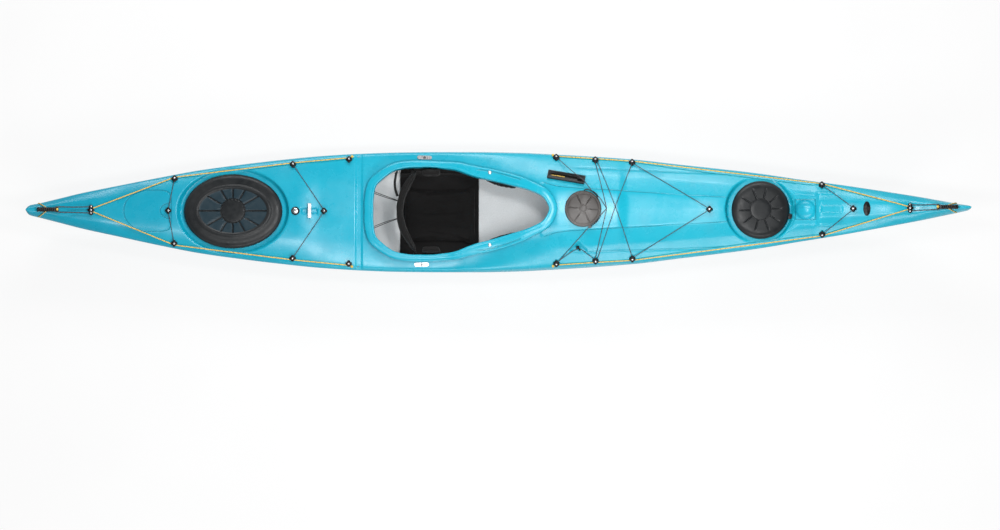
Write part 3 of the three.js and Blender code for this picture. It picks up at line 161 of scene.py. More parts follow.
DAY_LID_RINGS = (
    (0, 0.0058), (0.006, 0.0066), (0.010, 0.0056), (0.0125, 0.0066), (0.0175, 0.0068), (0.0195, 0.0056),
    (0.0225, 0.0060), (0.035, 0.0058), (0.050, 0.0054), (0.064, 0.0048), (0.073, 0.0042),
    (0.0765, 0.0036), (0.0785, 0.0018), (0.0805, 0.0018), (0.0825, 0.0034), (0.0865, 0.0026),
    (0.0897, 0.0002), (0.091, -0.0030), (0.091, -0.0075), (0.0900, -0.0079), (0.0885, -0.0078),
    (0.0884, 0.0004), (0, 0.0004),
)
# The pads' cloth run: pressure inside the cover, and frames
CLOTH = dict(pressure=4.0, frames=20)


def size(label, words, default=0.0):
    return bpy.props.FloatProperty(name=label, description=words, default=default, unit="LENGTH")


def whole(label, words, default):
    return bpy.props.IntProperty(name=label, description=words, default=default)


def tint(label, words, red, green, blue):
    return bpy.props.FloatVectorProperty(
        name=label, description=words, default=(red, green, blue), min=0, max=1, subtype="COLOR", size=3
    )


class HullSizes(bpy.types.PropertyGroup):
    length: size("Length", "Bow to stern", 4.72)
    beam: size("Beam", "Greatest breadth", 0.608)
    height: size("Height", "Keel to the top of the bow", 0.444)
    keel_flat: size("Keel flat", "Width of the flat along the keel", 0.16)
    deck_columns: whole("Deck columns", "Mesh columns across the deck", 120)
    hull_columns: whole("Hull columns", "Mesh columns round the hull", 52)


class CockpitSizes(bpy.types.PropertyGroup):
    back: size("Back", "Back of the cockpit's opening", -0.622)
    front: size("Front", "Front of the cockpit's opening", 0.258)
    half_width: size("Half width", "Half the opening's width", 0.22)
    steps: whole("Steps", "Mesh steps round the coaming", 208)


class HatchSizes(bpy.types.PropertyGroup):
    x: size("Place", "Centre along the boat")
    half_long: size("Half length", "Of its lid")
    half_wide: size("Half width", "Of its lid")
    margin: size("Margin", "Recess round the lid")
    floor: size("Floor", "Height of the recess floor")


class GearSizes(bpy.types.PropertyGroup):
    eye_radius: size("Eye radius", "Of a deck eye", 0.0165)
    eye_height: size("Eye height", "Of a deck eye", 0.0165)
    elastic_radius: size("Elastic radius", "Of the thin elastics", 0.0018)


class KayakColours(bpy.types.PropertyGroup):
    shell_fore: tint("Shell fore", "Moulded shell towards the bow", 0.004, 0.415, 0.560)
    shell_aft: tint("Shell aft", "Moulded shell towards the stern", 0.001, 0.325, 0.470)
    shell_worn: tint("Shell sheen", "Paler bloom in the shell's plastic", 0.035, 0.47, 0.60)
    inside: tint("Inside", "Bare inside of the shell", 0.84, 0.855, 0.865)
    rubber: tint("Rubber", "Hatch lids", 0.008, 0.010, 0.0115)
    day_rubber: tint("Day lid", "Small lid before the cockpit", 0.048, 0.043, 0.040)
    plastic: tint("Plastic", "Black moulded fittings", 0.006, 0.006, 0.0065)
    fabric: tint("Fabric", "Seat and pads", 0.0045, 0.0040, 0.0040)
    steel: tint("Steel", "Screws, plates and the bar", 0.56, 0.56, 0.57)
    yellow: tint("Deck line", "Yellow line", 0.86, 0.58, 0.12)
    elastic: tint("Elastic", "Thin elastics", 0.070, 0.072, 0.085)
    foam: tint("Foam", "Bulkheads", 0.16, 0.17, 0.18)


def hull_sizes():
    return bpy.context.scene.kayak_hull


def cockpit_sizes():
    return bpy.context.scene.kayak_cockpit


def gear_sizes():
    return bpy.context.scene.kayak_gear


def colours():
    return bpy.context.scene.kayak_colours


def mix(a, b, t):
    return a + (b - a) * t


def smooth(t):
    """A share from 0 to 1, eased at both ends"""
    t = min(1, max(0, t))
    return t * t * (3 - 2 * t)


def along(rows, at):
    """Value of a table at a place, on a smooth curve that doesn't overshoot its rows"""
    if at <= rows[0][0]:
        return rows[0][1]
    if at >= rows[-1][0]:
        return rows[-1][1]
    last = len(rows) - 1

    def slope(k):
        return (rows[k + 1][1] - rows[k][1]) / (rows[k + 1][0] - rows[k][0])

    def tangent(k):
        if k in (0, last):
            return slope(0 if k == 0 else last - 1)
        before, after = slope(k - 1), slope(k)
        return 0 if before * after <= 0 else 2 * before * after / (before + after)

    i = next(k for k, row in enumerate(rows) if row[0] > at) - 1
    span = rows[i + 1][0] - rows[i][0]
    t = (at - rows[i][0]) / span
    rise = rows[i + 1][1] - rows[i][1]
    a, b = tangent(i) * span, tangent(i + 1) * span
    return rows[i][1] + t * (a + t * (3 * rise - 2 * a - b + t * (a + b - 2 * rise)))


def tip_share(x):
    """How far the section has drawn in at the rounded ends of the boat, in plan"""
    sizes = hull_sizes()
    reach = BOW_REACH if x > 0 else STERN_REACH
    past = (abs(x) - (sizes.length / 2 - reach)) / reach
    return 1 if past <= 0 else sqrt(max(0, 1 - min(1, past) ** 2))


def half_section(x):
    """Port half of a section: the keel's flat edge, out to the knuckle, in to the crown"""
    sizes = hull_sizes()
    share = 2 * x / sizes.length
    high = sizes.height
    beam = along(BEAM_SHARES, share) * sizes.beam / 2 * tip_share(x)
    keel = along(KEEL_SHARES, share) * high
    knuckle = along(KNUCKLE_SHARES, share) * high
    crown = along(CROWN_SHARES, share) * high
    flat = min(beam * 0.8, along(FLAT_SHARES, share) * sizes.keel_flat / 2)
    chine_y = along(CHINE_BREADTH_SHARES, share) * beam
    chine_z = mix(keel, knuckle, along(CHINE_HEIGHT_SHARES, share))
    edge_y = along(EDGE_BREADTH_SHARES, share) * beam
    edge_z = mix(knuckle, crown, along(EDGE_HEIGHT_SHARES, share))
    crease_y = along(CREASE_BREADTH_SHARES, share) * beam
    crease_z = mix(knuckle, crown, CREASE_HEIGHT_SHARE)
    return [
        (flat, keel), (mix(flat, chine_y, 0.55), mix(keel, chine_z, 0.42)),
        (mix(flat, chine_y, 0.92), mix(keel, chine_z, 0.86)),
        (mix(chine_y, beam, 0.08), mix(chine_z, knuckle, 0.12)),
        (mix(chine_y, beam, 0.62), mix(chine_z, knuckle, 0.5)), (beam, knuckle),
        (mix(beam, edge_y, 0.35), mix(knuckle, edge_z, 0.6)), (edge_y, edge_z),
        (mix(edge_y, crease_y, 0.5), mix(edge_z, crease_z, 0.62)), (crease_y, crease_z), (0, crown),
    ]


def rounded(points, rounds, cut):
    """A line of points with its corners cut again and again, and its ends kept"""
    for _ in range(rounds):
        line = [points[0]]
        for a, b in zip(points, points[1:]):
            line.append((mix(a[0], b[0], cut), mix(a[1], b[1], cut)))
            line.append((mix(a[0], b[0], 1 - cut), mix(a[1], b[1], 1 - cut)))
        line.append(points[-1])
        points = line
    return points


def evenly(points, count):
    """So many points at even steps along a line"""
    reach = [0.0]
    for a, b in zip(points, points[1:]):
        reach.append(reach[-1] + hypot(b[0] - a[0], b[1] - a[1]))
    out, k = [], 0
    for i in range(count):
        at = reach[-1] * i / (count - 1)
        while k < len(points) - 2 and reach[k + 1] < at:
            k += 1
        span = reach[k + 1] - reach[k]
        t = (at - reach[k]) / span if span > 1e-12 else 0
        a, b = points[k], points[k + 1]
        out.append((mix(a[0], b[0], t), mix(a[1], b[1], t)))
    return out


def deck_line(x):
    """The deck's section at x, from the port knuckle over the crown to the starboard one"""
    half = half_section(x)[KNUCKLE:]
    crisp = smooth((x - 0.2) / 0.2) * smooth((2.0 - x) / 0.5)
    whole = half + [(-y, z) for y, z in reversed(half[:-1])]
    return rounded(rounded(whole, 1, mix(0.25, 0.1, crisp)), 2, 0.25)


def hull_line(x):
    """The hull's section at x, from the port knuckle under the keel to the starboard one"""
    half = half_section(x)[KNUCKLE::-1]
    whole = half + [(-y, z) for y, z in reversed(half)]
    return rounded(whole, 2, 0.22)


def deck_height(x, y):
    """Height of the rounded deck, without what is moulded into it"""
    line = deck_line(x)
    for a, b in zip(line, line[1:]):
        if b[0] <= y <= a[0]:
            return mix(a[1], b[1], (a[0] - y) / max(1e-9, a[0] - b[0]))
    return line[0][1]


def boat_rows():
    """Places along the boat where the shell has a row of corners"""
    half = hull_sizes().length / 2
    tips = [half - STERN_REACH + STERN_REACH * share for share in TIP_SHARES]
    rows, at = [-tip for tip in reversed(tips)], -half + STERN_REACH
    for end, step in ROW_STEPS:
        count = max(1, round((end - at) / step))
        rows += [mix(at, end, k / count) for k in range(count)]
        at = end
    return rows + [half - BOW_REACH + BOW_REACH * share for share in (0,) + TIP_SHARES]


def oval_reach(x, y, long, wide):
    """Distance outside an oval about the origin, less than zero within it"""
    return (hypot(x / long, y / wide) - 1) * min(long, wide)


def band(value, low, high, soft):
    """1 between low and high, with soft ends"""
    return smooth((value - low) / soft) * smooth((high - value) / soft)


DAY_LID_X = 0.428
# Half width of the bed before the front hatch at places along it, and the compass's place in it
COMPASS_BED = ((1.40, 0.135), (1.456, 0.103), (1.506, 0.077), (1.60, 0.074))
COMPASS_X, COMPASS_RADIUS = 1.54, 0.050
# Square pockets in the deck, by the bar, round the compass and ahead of it: from x, to x, half width,
# depth, softness of the ends and of the sides
POCKETS = (
    (-0.985, -0.901, 0.018, 0.011, 0.007, 0.008), (1.488, 1.592, 0.052, 0.0030, 0.005, 0.005),
    (1.612, 1.728, 0.021, 0.0045, 0.010, 0.008),
)
PANEL_X, PANEL_LONG, PANEL_WIDE, SHALLOW = -1.754, 0.118, 0.104, 0.0012


def crease_off(x, y):
    """How far a place lies outboard of the crease along the foredeck's side"""
    return abs(y) - 0.205 + (x - 0.6) * 0.038


def carved(x, y, z):
    """Height of the deck with its recesses moulded in"""
    scene = bpy.context.scene
    for hatch, shift in ((scene.kayak_rear_hatch, 0), (scene.kayak_front_hatch, -0.006)):
        far = oval_reach(
            x - hatch.x - shift, y, hatch.half_long + hatch.margin, hatch.half_wide + hatch.margin
        )
        if far < 0.006:
            z = mix(z, min(z, hatch.floor), smooth((0.006 - far) / 0.014))
    z -= 0.0042 * band(x, -0.714, -0.676, 0.007)
    for low, high, half, deep, soft_x, soft_y in POCKETS:
        z -= deep * band(x, low, high, soft_x) * band(y, -half, half, soft_y)
    if 1.40 < x < 1.62 and abs(y) < 0.14:
        wide = along(COMPASS_BED, x)
        far = oval_reach(x - 1.311, y, 0.174, 0.168)
        open_end = smooth((far + 0.002) / 0.01)
        z -= 0.007 * open_end * band(y, -wide - 0.005, wide + 0.005, 0.010) * smooth((1.606 - x) / 0.012)
        dish = hypot(x - COMPASS_X, y) / COMPASS_RADIUS
        if dish < 1:
            z -= 0.027 * sqrt(1 - dish**2) ** 1.1
    if 0.33 < x < 0.48 and -0.225 < y < -0.135:
        up = y + 0.207
        deep = min(up, (x - 0.352) * 0.72 - up * 0.70, (0.457 - x) * 0.70 - up * 0.72)
        if deep > 0:
            z -= 0.004 * smooth(deep / 0.004) + min(0.016, 0.5 * deep)
    if -1.90 < x < -1.61 and abs(y) < 0.13:
        wide, long = abs(y) / PANEL_WIDE, abs(x - PANEL_X) / PANEL_LONG
        boxed = mix(hypot(wide, long), (wide**6 + long**6) ** (1 / 6), smooth((x + 1.758) / 0.008))
        z -= SHALLOW * smooth(0.5 - (boxed - 1) * 11)
    if 0.34 < x < 1.20:
        z -= SHALLOW * smooth(1 - abs(crease_off(x, y)) / 0.009) * band(x, 0.36, 1.16, 0.06)
    if 1.57 < x < 1.70:
        z += 0.0022 * band(x, 1.585, 1.685, 0.008) * band(abs(y), 0.072, 0.090, 0.006)
    return z


def laid_grid(rows, columns, place):
    """A grid of rows by columns, each corner put in its place, with its seams and poles merged"""
    bm = bmesh.new()
    bmesh.ops.create_grid(bm, x_segments=rows - 1, y_segments=columns - 1, size=1)
    for vert in bm.verts:
        row = round((vert.co.x + 1) / 2 * (rows - 1))
        column = round((vert.co.y + 1) / 2 * (columns - 1))
        vert.co = place(row, column)
    bmesh.ops.remove_doubles(bm, verts=bm.verts, dist=1e-6)
    return bm


def round_point(radius, turn, x=0, z=0):
    """A point on a level circle about a point of the middle line"""
    return Vector((x + radius * cos(turn), radius * sin(turn), z))


def closed_up(bm):
    """The same shape with its faces outward"""
    bmesh.ops.recalc_face_normals(bm, faces=bm.faces)
    return bm


def turned(profile, steps, stretch=1.0):
    """A round piece from the points of its outline, radius then height"""
    bm = bmesh.new()
    verts = [bm.verts.new((r, 0, z)) for r, z in profile]
    line = verts + [bm.edges.new(pair) for pair in zip(verts, verts[1:])]
    round_up = dict(cent=(0, 0, 0), axis=(0, 0, 1), angle=2 * pi, steps=steps, use_merge=True)
    bmesh.ops.spin(bm, geom=line, **round_up)
    bmesh.ops.remove_doubles(bm, verts=bm.verts, dist=1e-7)
    bmesh.ops.scale(bm, vec=(1, stretch, 1), verts=bm.verts)
    return closed_up(bm)


def add_to(bm, other, matrix=None):
    """Puts one shape's faces into another"""
    if matrix is not None:
        bmesh.ops.transform(other, matrix=matrix, verts=other.verts)
    carrier = bpy.data.meshes.new("carrier")
    other.to_mesh(carrier)
    other.free()
    bm.from_mesh(carrier)
    bpy.data.meshes.remove(carrier)
    return bm


def block(size, edge, steps=2):
    """A block about the origin with its edges rounded"""
    bm = bmesh.new()
    bmesh.ops.create_cube(bm, size=1)
    bmesh.ops.scale(bm, vec=size, verts=bm.verts)
    cut = dict(offset=edge, segments=steps, affect="EDGES", profile=0.5, material=-1)
    bmesh.ops.bevel(bm, geom=bm.edges[:], **cut)
    return bm


def curve_points(stops, count):
    """So many points on a smooth curve through the stops"""
    stops = [Vector(stop) for stop in stops]
    spans = len(stops) - 1
    points = []
    for i in range(count):
        t = spans * i / (count - 1)
        k = min(int(t), spans - 1)
        t -= k
        a = stops[max(k - 1, 0)]
        b, c = stops[k], stops[k + 1]
        d = stops[min(k + 2, spans)]
        bend = (2 * a - 5 * b + 4 * c - d) * t * t + (3 * b - a - 3 * c + d) * t**3
        points.append(0.5 * (2 * b + (c - a) * t + bend))
    return points


def cord(points, radius, sides=10):
    """A round cord along points, closed at its ends"""
    last = len(points) - 1
    ways = [(points[min(i + 1, last)] - points[max(i - 1, 0)]).normalized() for i in range(last + 1)]
    across = Vector((0, 0, 1)).cross(ways[0])
    if across.length < 1e-3:
        across = Vector((0, 1, 0))
    frames = []
    for way in ways:
        across = (across - way * across.dot(way)).normalized()
        frames.append((across.copy(), way.cross(across)))

    def place(row, column):
        i = min(max(row - 1, 0), last)
        far = 0 if row in (0, last + 2) else radius
        turn = 2 * pi * column / sides
        side, over = frames[i]
        return points[i] + side * (far * cos(turn)) + over * (far * sin(turn))

    return closed_up(laid_grid(last + 3, sides + 1, place))


def merged_copy(node):
    """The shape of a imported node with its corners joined"""
    bm = bmesh.new()
    bm.from_mesh(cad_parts[node].data)
    bmesh.ops.remove_doubles(bm, verts=bm.verts, dist=1e-6)
    return bm


def linked(bm, name):
    """An object with the faces of a shape, in the scene"""
    mesh = bpy.data.meshes.new(name)
    bm.to_mesh(mesh)
    bm.free()
    piece = bpy.data.objects.new(name, mesh)
    bpy.context.scene.collection.objects.link(piece)
    return piece


def place_piece(bm, name, look, body="boat", stands_for=(), sharp=35):
    """Makes a finished piece of a shape and says what it rides on and stands for"""
    piece = linked(bm, name)
    piece.data.materials.append(look_of(look))
    piece.data.shade_smooth()
    if sharp:
        piece.data.set_sharp_from_angle(angle=radians(sharp))
    if body:
        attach(piece, body)
    if stands_for:
        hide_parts(*stands_for)
    return piece


def dress(node, look):
    """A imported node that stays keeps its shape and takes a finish"""
    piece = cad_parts[node]
    if piece.material_slots:
        piece.material_slots[0].material = look_of(look)
    else:
        piece.data.materials.append(look_of(look))


def deck_seat(x, y, turn=0.0, lift=0.0):
    """A place on the deck: flush with it and turned about its normal"""
    step = 0.008
    slope_x = (deck_height(x + step, y) - deck_height(x - step, y)) / (2 * step)
    slope_y = (deck_height(x, y + step) - deck_height(x, y - step)) / (2 * step)
    normal = Vector((-slope_x, -slope_y, 1)).normalized()
    tilt = Vector((0, 0, 1)).rotation_difference(normal).to_matrix().to_4x4()
    at = Matrix.Translation(Vector((x, y, deck_height(x, y))) + normal * lift)
    return at @ tilt @ Matrix.Rotation(turn, 4, "Z")


def sum_of(kind, turned_round=False):
    """An operator that writes its sum as a node, with its first value last where it is turned round"""

    def made(one, *others):
        values = (*others, one) if turned_round else (one, *others)
        return one.made("ShaderNodeMath", dict(enumerate(values)), operation=kind)

    return made


class Shade:
    """One value in a material's nodes, so that sums can be written as sums"""

    def __init__(self, tree, socket):
        self.tree, self.socket = tree, socket

    def made(self, kind, inputs, out=0, **settings):
        node = self.tree.nodes.new(kind)
        for key, value in settings.items():
            setattr(node, key, value)
        for place, value in inputs.items():
            if isinstance(value, Shade):
                self.tree.links.new(value.socket, node.inputs[place])
            else:
                node.inputs[place].default_value = value
        return Shade(self.tree, node.outputs[out])

    __add__, __radd__ = sum_of("ADD"), sum_of("ADD", True)
    __sub__, __rsub__ = sum_of("SUBTRACT"), sum_of("SUBTRACT", True)
    __mul__, __rmul__ = sum_of("MULTIPLY"), sum_of("MULTIPLY", True)
    __truediv__, __rtruediv__ = sum_of("DIVIDE"), sum_of("DIVIDE", True)
    __pow__, __rpow__ = sum_of("POWER"), sum_of("POWER", True)
    __abs__, root, most, wave = sum_of("ABSOLUTE"), sum_of("SQRT"), sum_of("MAXIMUM"), sum_of("SINE")

    def eased(self, low, high, start=0.0, end=1.0):
        """From start to end as this value goes from low to high"""
        ends = {0: self, 1: low, 2: high, 3: start, 4: end}
        return self.made("ShaderNodeMapRange", ends, interpolation_type="SMOOTHSTEP")

    def line(self, width):
        """1 where this value is zero, fading to 0 at a width"""
        return abs(self).eased(width * 0.4, width, 1.0, 0.0)

    def blended(self, first, second):
        """A colour between two, by this value"""
        return self.made("ShaderNodeMix", {0: self, 6: first, 7: second}, out=2, data_type="RGBA")


class Finish:
    """A material with its place on the piece at hand"""

    def __init__(self, name, rough=0.5, **constants):
        self.material = bpy.data.materials.new(name)
        self.material.use_nodes = True
        self.tree = self.material.node_tree
        self.shader = self.tree.nodes["Principled BSDF"]
        self.shader.inputs["Roughness"].default_value = rough
        for key, value in constants.items():
            self.shader.inputs[key.replace("_", " ").title().replace("Ior", "IOR")].default_value = value
        start = Shade(self.tree, None)
        self.place = start.made("ShaderNodeTexCoord", {}, out=3)
        split = self.place.made("ShaderNodeSeparateXYZ", {0: self.place})
        node = split.socket.node
        self.x, self.y, self.z = (Shade(self.tree, node.outputs[k]) for k in range(3))

    def cloud(self, scale, detail=3.0, rough=0.5, stretch=(1, 1, 1)):
        """Noise about 0.5 at so many lumps a metre"""
        where = self.place
        if stretch != (1, 1, 1):
            where = where.made("ShaderNodeMapping", {0: self.place, 3: stretch})
        grain = {"Vector": where, "Scale": scale, "Detail": detail, "Roughness": rough}
        return where.made("ShaderNodeTexNoise", grain)

    def feed(self, label, value):
        self.tree.links.new(value.socket, self.shader.inputs[label])

    def paint(self, colour):
        self.feed("Base Color", colour)

    def roughen(self, value):
        self.feed("Roughness", value)

    def raise_by(self, height, metres, strength=1.0):
        """A bump of a height in metres"""
        bump = {"Height": height, "Distance": metres, "Strength": strength}
        self.feed("Normal", height.made("ShaderNodeBump", bump))


def full(colour, share=1.0):
    return (colour[0] * share, colour[1] * share, colour[2] * share, 1)


def moulded_shell():
    """Rotomoulded plastic: clouded, paler at its bow, with fine orange peel, scuffs and moulded lines, the
    lines also painted darker as painted shade in them
    """
    tone = colours()
    look = Finish("moulded_shell", 0.25, specular_ior_level=0.45)
    x, y, z = look.x, look.y, look.z
    base = x.eased(-1.9, 0.9).blended(full(tone.shell_aft), full(tone.shell_fore))
    bloom = look.cloud(5.5, 5, 0.6, (0.35, 1, 1)).eased(0.35, 0.75) * 0.30
    base = bloom.blended(base, full(tone.shell_worn))
    deep = look.cloud(11, 4, 0.55).eased(0.45, 0.8) * 0.22
    base = deep.blended(base, full(tone.shell_aft, 0.8))
    wide, long = abs(y) / PANEL_WIDE, abs(x - PANEL_X) / PANEL_LONG
    oval = (wide**2 + long**2).root()
    boxed = (wide**6 + long**6) ** (1 / 6)
    panel = ((x.eased(-1.756, -1.752) * (boxed - oval) + oval - 1) * 0.11).line(0.0035)
    arc = (((x + 1.636) ** 2 * 0.52 + y**2).root() - 0.039).line(0.003) * x.eased(-1.634, -1.642)
    edge_y = (x - 0.44) * -0.0605 + 0.1045 + (0.44 - x).most(0.0) ** 4 * 11.3
    on_plateau = x.eased(0.205, 0.225) * x.eased(1.19, 1.10) * z.eased(0.330, 0.335)
    step = (edge_y - abs(y)).eased(-0.002, 0.003) * on_plateau
    ridge = (edge_y - abs(y)).line(0.0034) * on_plateau
    crease = crease_off(x, y).line(0.004) * x.eased(0.32, 0.42) * x.eased(1.2, 1.0)
    thigh_x = x.eased(-0.140, -0.132) * x.eased(0.120, 0.112)
    thigh = (abs(y) - 0.2035 + (x + 0.10).most(0.0) ** 1.5 * 0.55).line(0.0050)
    thigh = thigh * thigh_x * z.eased(0.30, 0.305)
    square = (abs(x - COMPASS_X).most(abs(y)) - COMPASS_RADIUS).line(0.0040) * z.eased(0.3, 0.31)
    lines = (panel.most(arc) * z.eased(0.21, 0.23)).most(square)
    lines = lines.most(crease * 0.5).most(thigh).most(ridge * 0.8)
    # The panel outline, arc, crease, thigh line, compass square and plateau ridge are painted darker:
    # painted shade along these moulded lines
    base = (lines * 0.5).blended(base, full(tone.shell_aft, 0.45))
    scuff = look.cloud(60, 6, 0.7, (0.06, 1, 1)).eased(0.66, 0.74) * z.eased(0.05, 0.005) * 0.35
    base = scuff.blended(base, full(tone.shell_worn, 1.1))
    look.paint(base)
    look.roughen(look.cloud(9, 4, 0.6).eased(0.3, 0.75, 0.22, 0.34) + scuff * 0.2)
    peel = look.cloud(420, 2) * 0.10 + look.cloud(38, 3) * 0.5 + look.cloud(9, 2) * 1.6
    look.raise_by(peel - lines * 2.6 + step * 4.0, 0.0006, 0.8)
    return look.material


def bare_inside():
    """The pale inside of the shell, with grains of the powder it was moulded from"""
    tone = colours()
    look = Finish("bare_inside", 0.55, specular_ior_level=0.3)
    grain = look.cloud(260, 3, 0.7).eased(0.42, 0.62)
    broad = look.cloud(7, 4).eased(0.3, 0.75)
    base = (grain * 0.35).blended(full(tone.inside), full(tone.inside, 0.72))
    look.paint((broad * 0.30).blended(base, full(tone.inside, 0.78)))
    look.raise_by(grain * 0.4 + look.cloud(30, 2), 0.0008, 0.6)
    return look.material


def lid_rubber(name, tone, sheen, painted_field_share=0.0):
    """Moulded rubber: dull, with a bloom of dust, broad patches of painted sheen and, on the rear lid,
    painted shade and a painted bluish reflection on its field
    """
    look = Finish(name, 0.45, specular_ior_level=0.26)
    dust = look.cloud(26, 6, 0.65).eased(0.5, 0.78) * 0.4
    # Broad paler patches, as strong as the sheen share: painted sheen
    broad = look.cloud(5, 3).eased(0.35, 0.7) * sheen
    base = dust.blended(full(tone), full(tone, 1.7))
    base = broad.blended(base, (0.10 + tone[0], 0.098 + tone[1], 0.097 + tone[2], 1))
    # On the rear lid's field: painted shade makes the low grooves near black, and a painted bluish
    # reflection lies on the raised field
    off = look.x - bpy.context.scene.kayak_rear_hatch.x
    reach = ((off / 0.172) ** 2 + (look.y / 0.112) ** 2).eased(1.0, 0.94)
    field = reach * (off**2 + look.y**2).root().eased(0.062, 0.066)
    painted_field_shade_and_reflection = look.z.eased(0.2666, 0.2700).blended((0.002, 0.003, 0.004, 1), (0.012, 0.036, 0.052, 1))
    look.paint((field * painted_field_share).blended(base, painted_field_shade_and_reflection))
    look.roughen(look.cloud(40, 4).eased(0.3, 0.8, 0.30, 0.46))
    look.raise_by(look.cloud(900, 2) * 0.3 + look.cloud(60, 2), 0.0004, 0.7)
    return look.material


def black_plastic():
    """Moulded nylon: fine spark texture with a satin shine"""
    tone = colours().plastic
    look = Finish("black_plastic", 0.4, specular_ior_level=0.22)
    wear = look.cloud(90, 5, 0.7).eased(0.55, 0.8)
    look.paint((wear * 0.6).blended(full(tone), full(tone, 3.0)))
    look.roughen(look.cloud(200, 3).eased(0.3, 0.8, 0.26, 0.42))
    look.raise_by(look.cloud(1500, 2), 0.00015, 0.7)
    return look.material


def foam():
    """Closed-cell foam with its cut cells"""
    tone = colours().foam
    look = Finish("bulkhead_foam", 0.85, specular_ior_level=0.2)
    cells = look.place.made("ShaderNodeTexVoronoi", {"Vector": look.place, "Scale": 450.0})
    look.paint(cells.eased(0.1, 0.7).blended(full(tone, 0.75), full(tone, 1.2)))
    look.raise_by(cells, 0.0006, 0.8)
    return look.material


def brushed_steel(name="brushed_steel", share=1.0):
    """Stainless steel with fine brush marks and dulled spots"""
    tone = tuple(value * share for value in colours().steel)
    look = Finish(name, 0.3, metallic=1.0)
    marks = look.cloud(700, 3, 0.6, (1, 0.05, 1))
    dull = look.cloud(120, 4).eased(0.5, 0.75)
    look.paint((dull * 0.5).blended(full(tone), full(tone, 0.7)))
    look.roughen(marks.eased(0.3, 0.7, 0.22, 0.40) + dull * 0.12)
    look.raise_by(marks, 0.0001, 0.5)
    return look.material


def woven_cover(name="woven_cover", share=1.0):
    """Black woven cover: crossed threads, a little worn, with soft creases"""
    # A share below 1 makes a darker copy of the cover, used as painted shade
    tone = tuple(value * share for value in colours().fabric)
    look = Finish(name, 0.85, specular_ior_level=0.25, sheen_weight=0.06, sheen_roughness=0.5)
    x, y, z = look.x, look.y, look.z
    turn = 2 * pi / 0.0016
    warp = (x * turn).wave() * ((y + z) * turn).wave()
    worn = look.cloud(14, 5, 0.6).eased(0.42, 0.75)
    base = warp.eased(-0.7, 0.8).blended(full(tone, 0.55), full(tone, 1.5))
    look.paint((worn * 0.45).blended(base, full(tone, 2.2)))
    look.roughen(worn.eased(0.0, 1.0, 0.78, 0.92))
    pucker = look.cloud(34, 3, 0.5, (0.35, 1.4, 1))
    look.raise_by(warp * 0.22 + pucker * 3.2, 0.0009, 0.8)
    return look.material


def braid(name, tone, fleck):
    """Braided line: strands wound both ways, with a fleck of another colour"""
    look = Finish(name, 0.7, specular_ior_level=0.3)
    x, y, z = look.x, look.y, look.z
    turn = 2 * pi / 0.0050
    one = ((x + y * 0.4 + z) * turn).wave()
    two = ((x - y * 0.4 - z) * turn).wave()
    strands = one.most(two)
    base = strands.eased(-0.2, 0.9).blended(full(tone, 0.6), full(tone, 1.15))
    flecks = ((x * 260).wave() * 0.5 + 0.5).eased(0.90, 0.98)
    look.paint((flecks * 0.55).blended(base, fleck))
    look.raise_by(strands, 0.0004, 0.8)
    return look.material


def white_floor():
    """A pale floor that the camera and the gloss see nearly white, with the object's shadow"""
    look = Finish("studio_floor", 0.9, specular_ior_level=0.0)
    path = look.place.made("ShaderNodeLightPath", {})
    node = path.socket.node
    seen = Shade(look.tree, node.outputs["Is Camera Ray"])
    for label in ("Is Glossy Ray", "Is Transmission Ray"):
        seen = seen.most(Shade(look.tree, node.outputs[label]))
    tile = look.cloud(1.5, 2).eased(0.2, 0.8, 0.985, 1.0)
    look.paint(seen.blended((0.62, 0.62, 0.62, 1), (0.14, 0.14, 0.14, 1)))
    glow = (seen * tile).blended((0, 0, 0, 1), (1, 1, 1, 1))
    look.feed("Emission Color", glow)
    look.shader.inputs["Emission Strength"].default_value = 0.84
    return look.material


LOOKS = {}


def look_of(name):
    """A finish by its name, made the first time it is asked for"""
    tone = colours()
    makers = {
        "shell": moulded_shell, "inside": bare_inside,
        # Lid rubber: the third number is the share of painted sheen, the fourth the share of painted shade
        # and reflection on the rear lid's field
        "rubber": lambda: lid_rubber("lid_rubber", tone.rubber, 0.11, 0.7),
        "day_rubber": lambda: lid_rubber("day_lid_rubber", tone.day_rubber, 0.9),
        "plastic": black_plastic, "foam": foam, "steel": brushed_steel,
        "dull_steel": lambda: brushed_steel("dull_steel", 0.30), "cover": woven_cover,
        # The backband's cover: a darker copy of the cover as painted shade
        "painted_shade_cover": lambda: woven_cover("painted_shade_cover", 0.35),
        "line": lambda: braid("deck_line_braid", tone.yellow, (0.32, 0.16, 0.05, 1)),
        "elastic": lambda: braid("elastic_braid", tone.elastic, (0.16, 0.16, 0.17, 1)),
    }
    if name not in LOOKS:
        LOOKS[name] = makers[name]()
    return LOOKS[name]


EYES = {
    f"deck_eye_{name}{suffix}": (x * HALF_LENGTH, side * y * HALF_BEAM) for name, x, y in EYE_SHARES
    for suffix, side in ((("", 1),) if y == 0 else (("_port", 1), ("_starboard", -1)))
}
LINE_LIFT, ELASTIC_LIFT, KNOT_RADIUS, LINE_RADIUS, TIE_RADIUS = 0.0062, 0.0092, 0.0070, 0.0027, 0.0026
GRIP_RADIUS, GRIP_RIBS = 0.0112, 9


def at_eye(name, ahead=0.0, out=0.0, lift=ELASTIC_LIFT):
    """A point beside a deck eye: so far ahead of its middle and outward from it"""
    x, y = EYES[f"deck_eye_{name}"]
    return deck_seat(x, y) @ Vector((ahead, out if y >= 0 else -out, lift))


def over_deck(x, y, lift):
    return Vector((x, y, deck_height(x, y) + lift))


def other_side(points):
    return [Vector((p.x, -p.y, p.z)) for p in points]


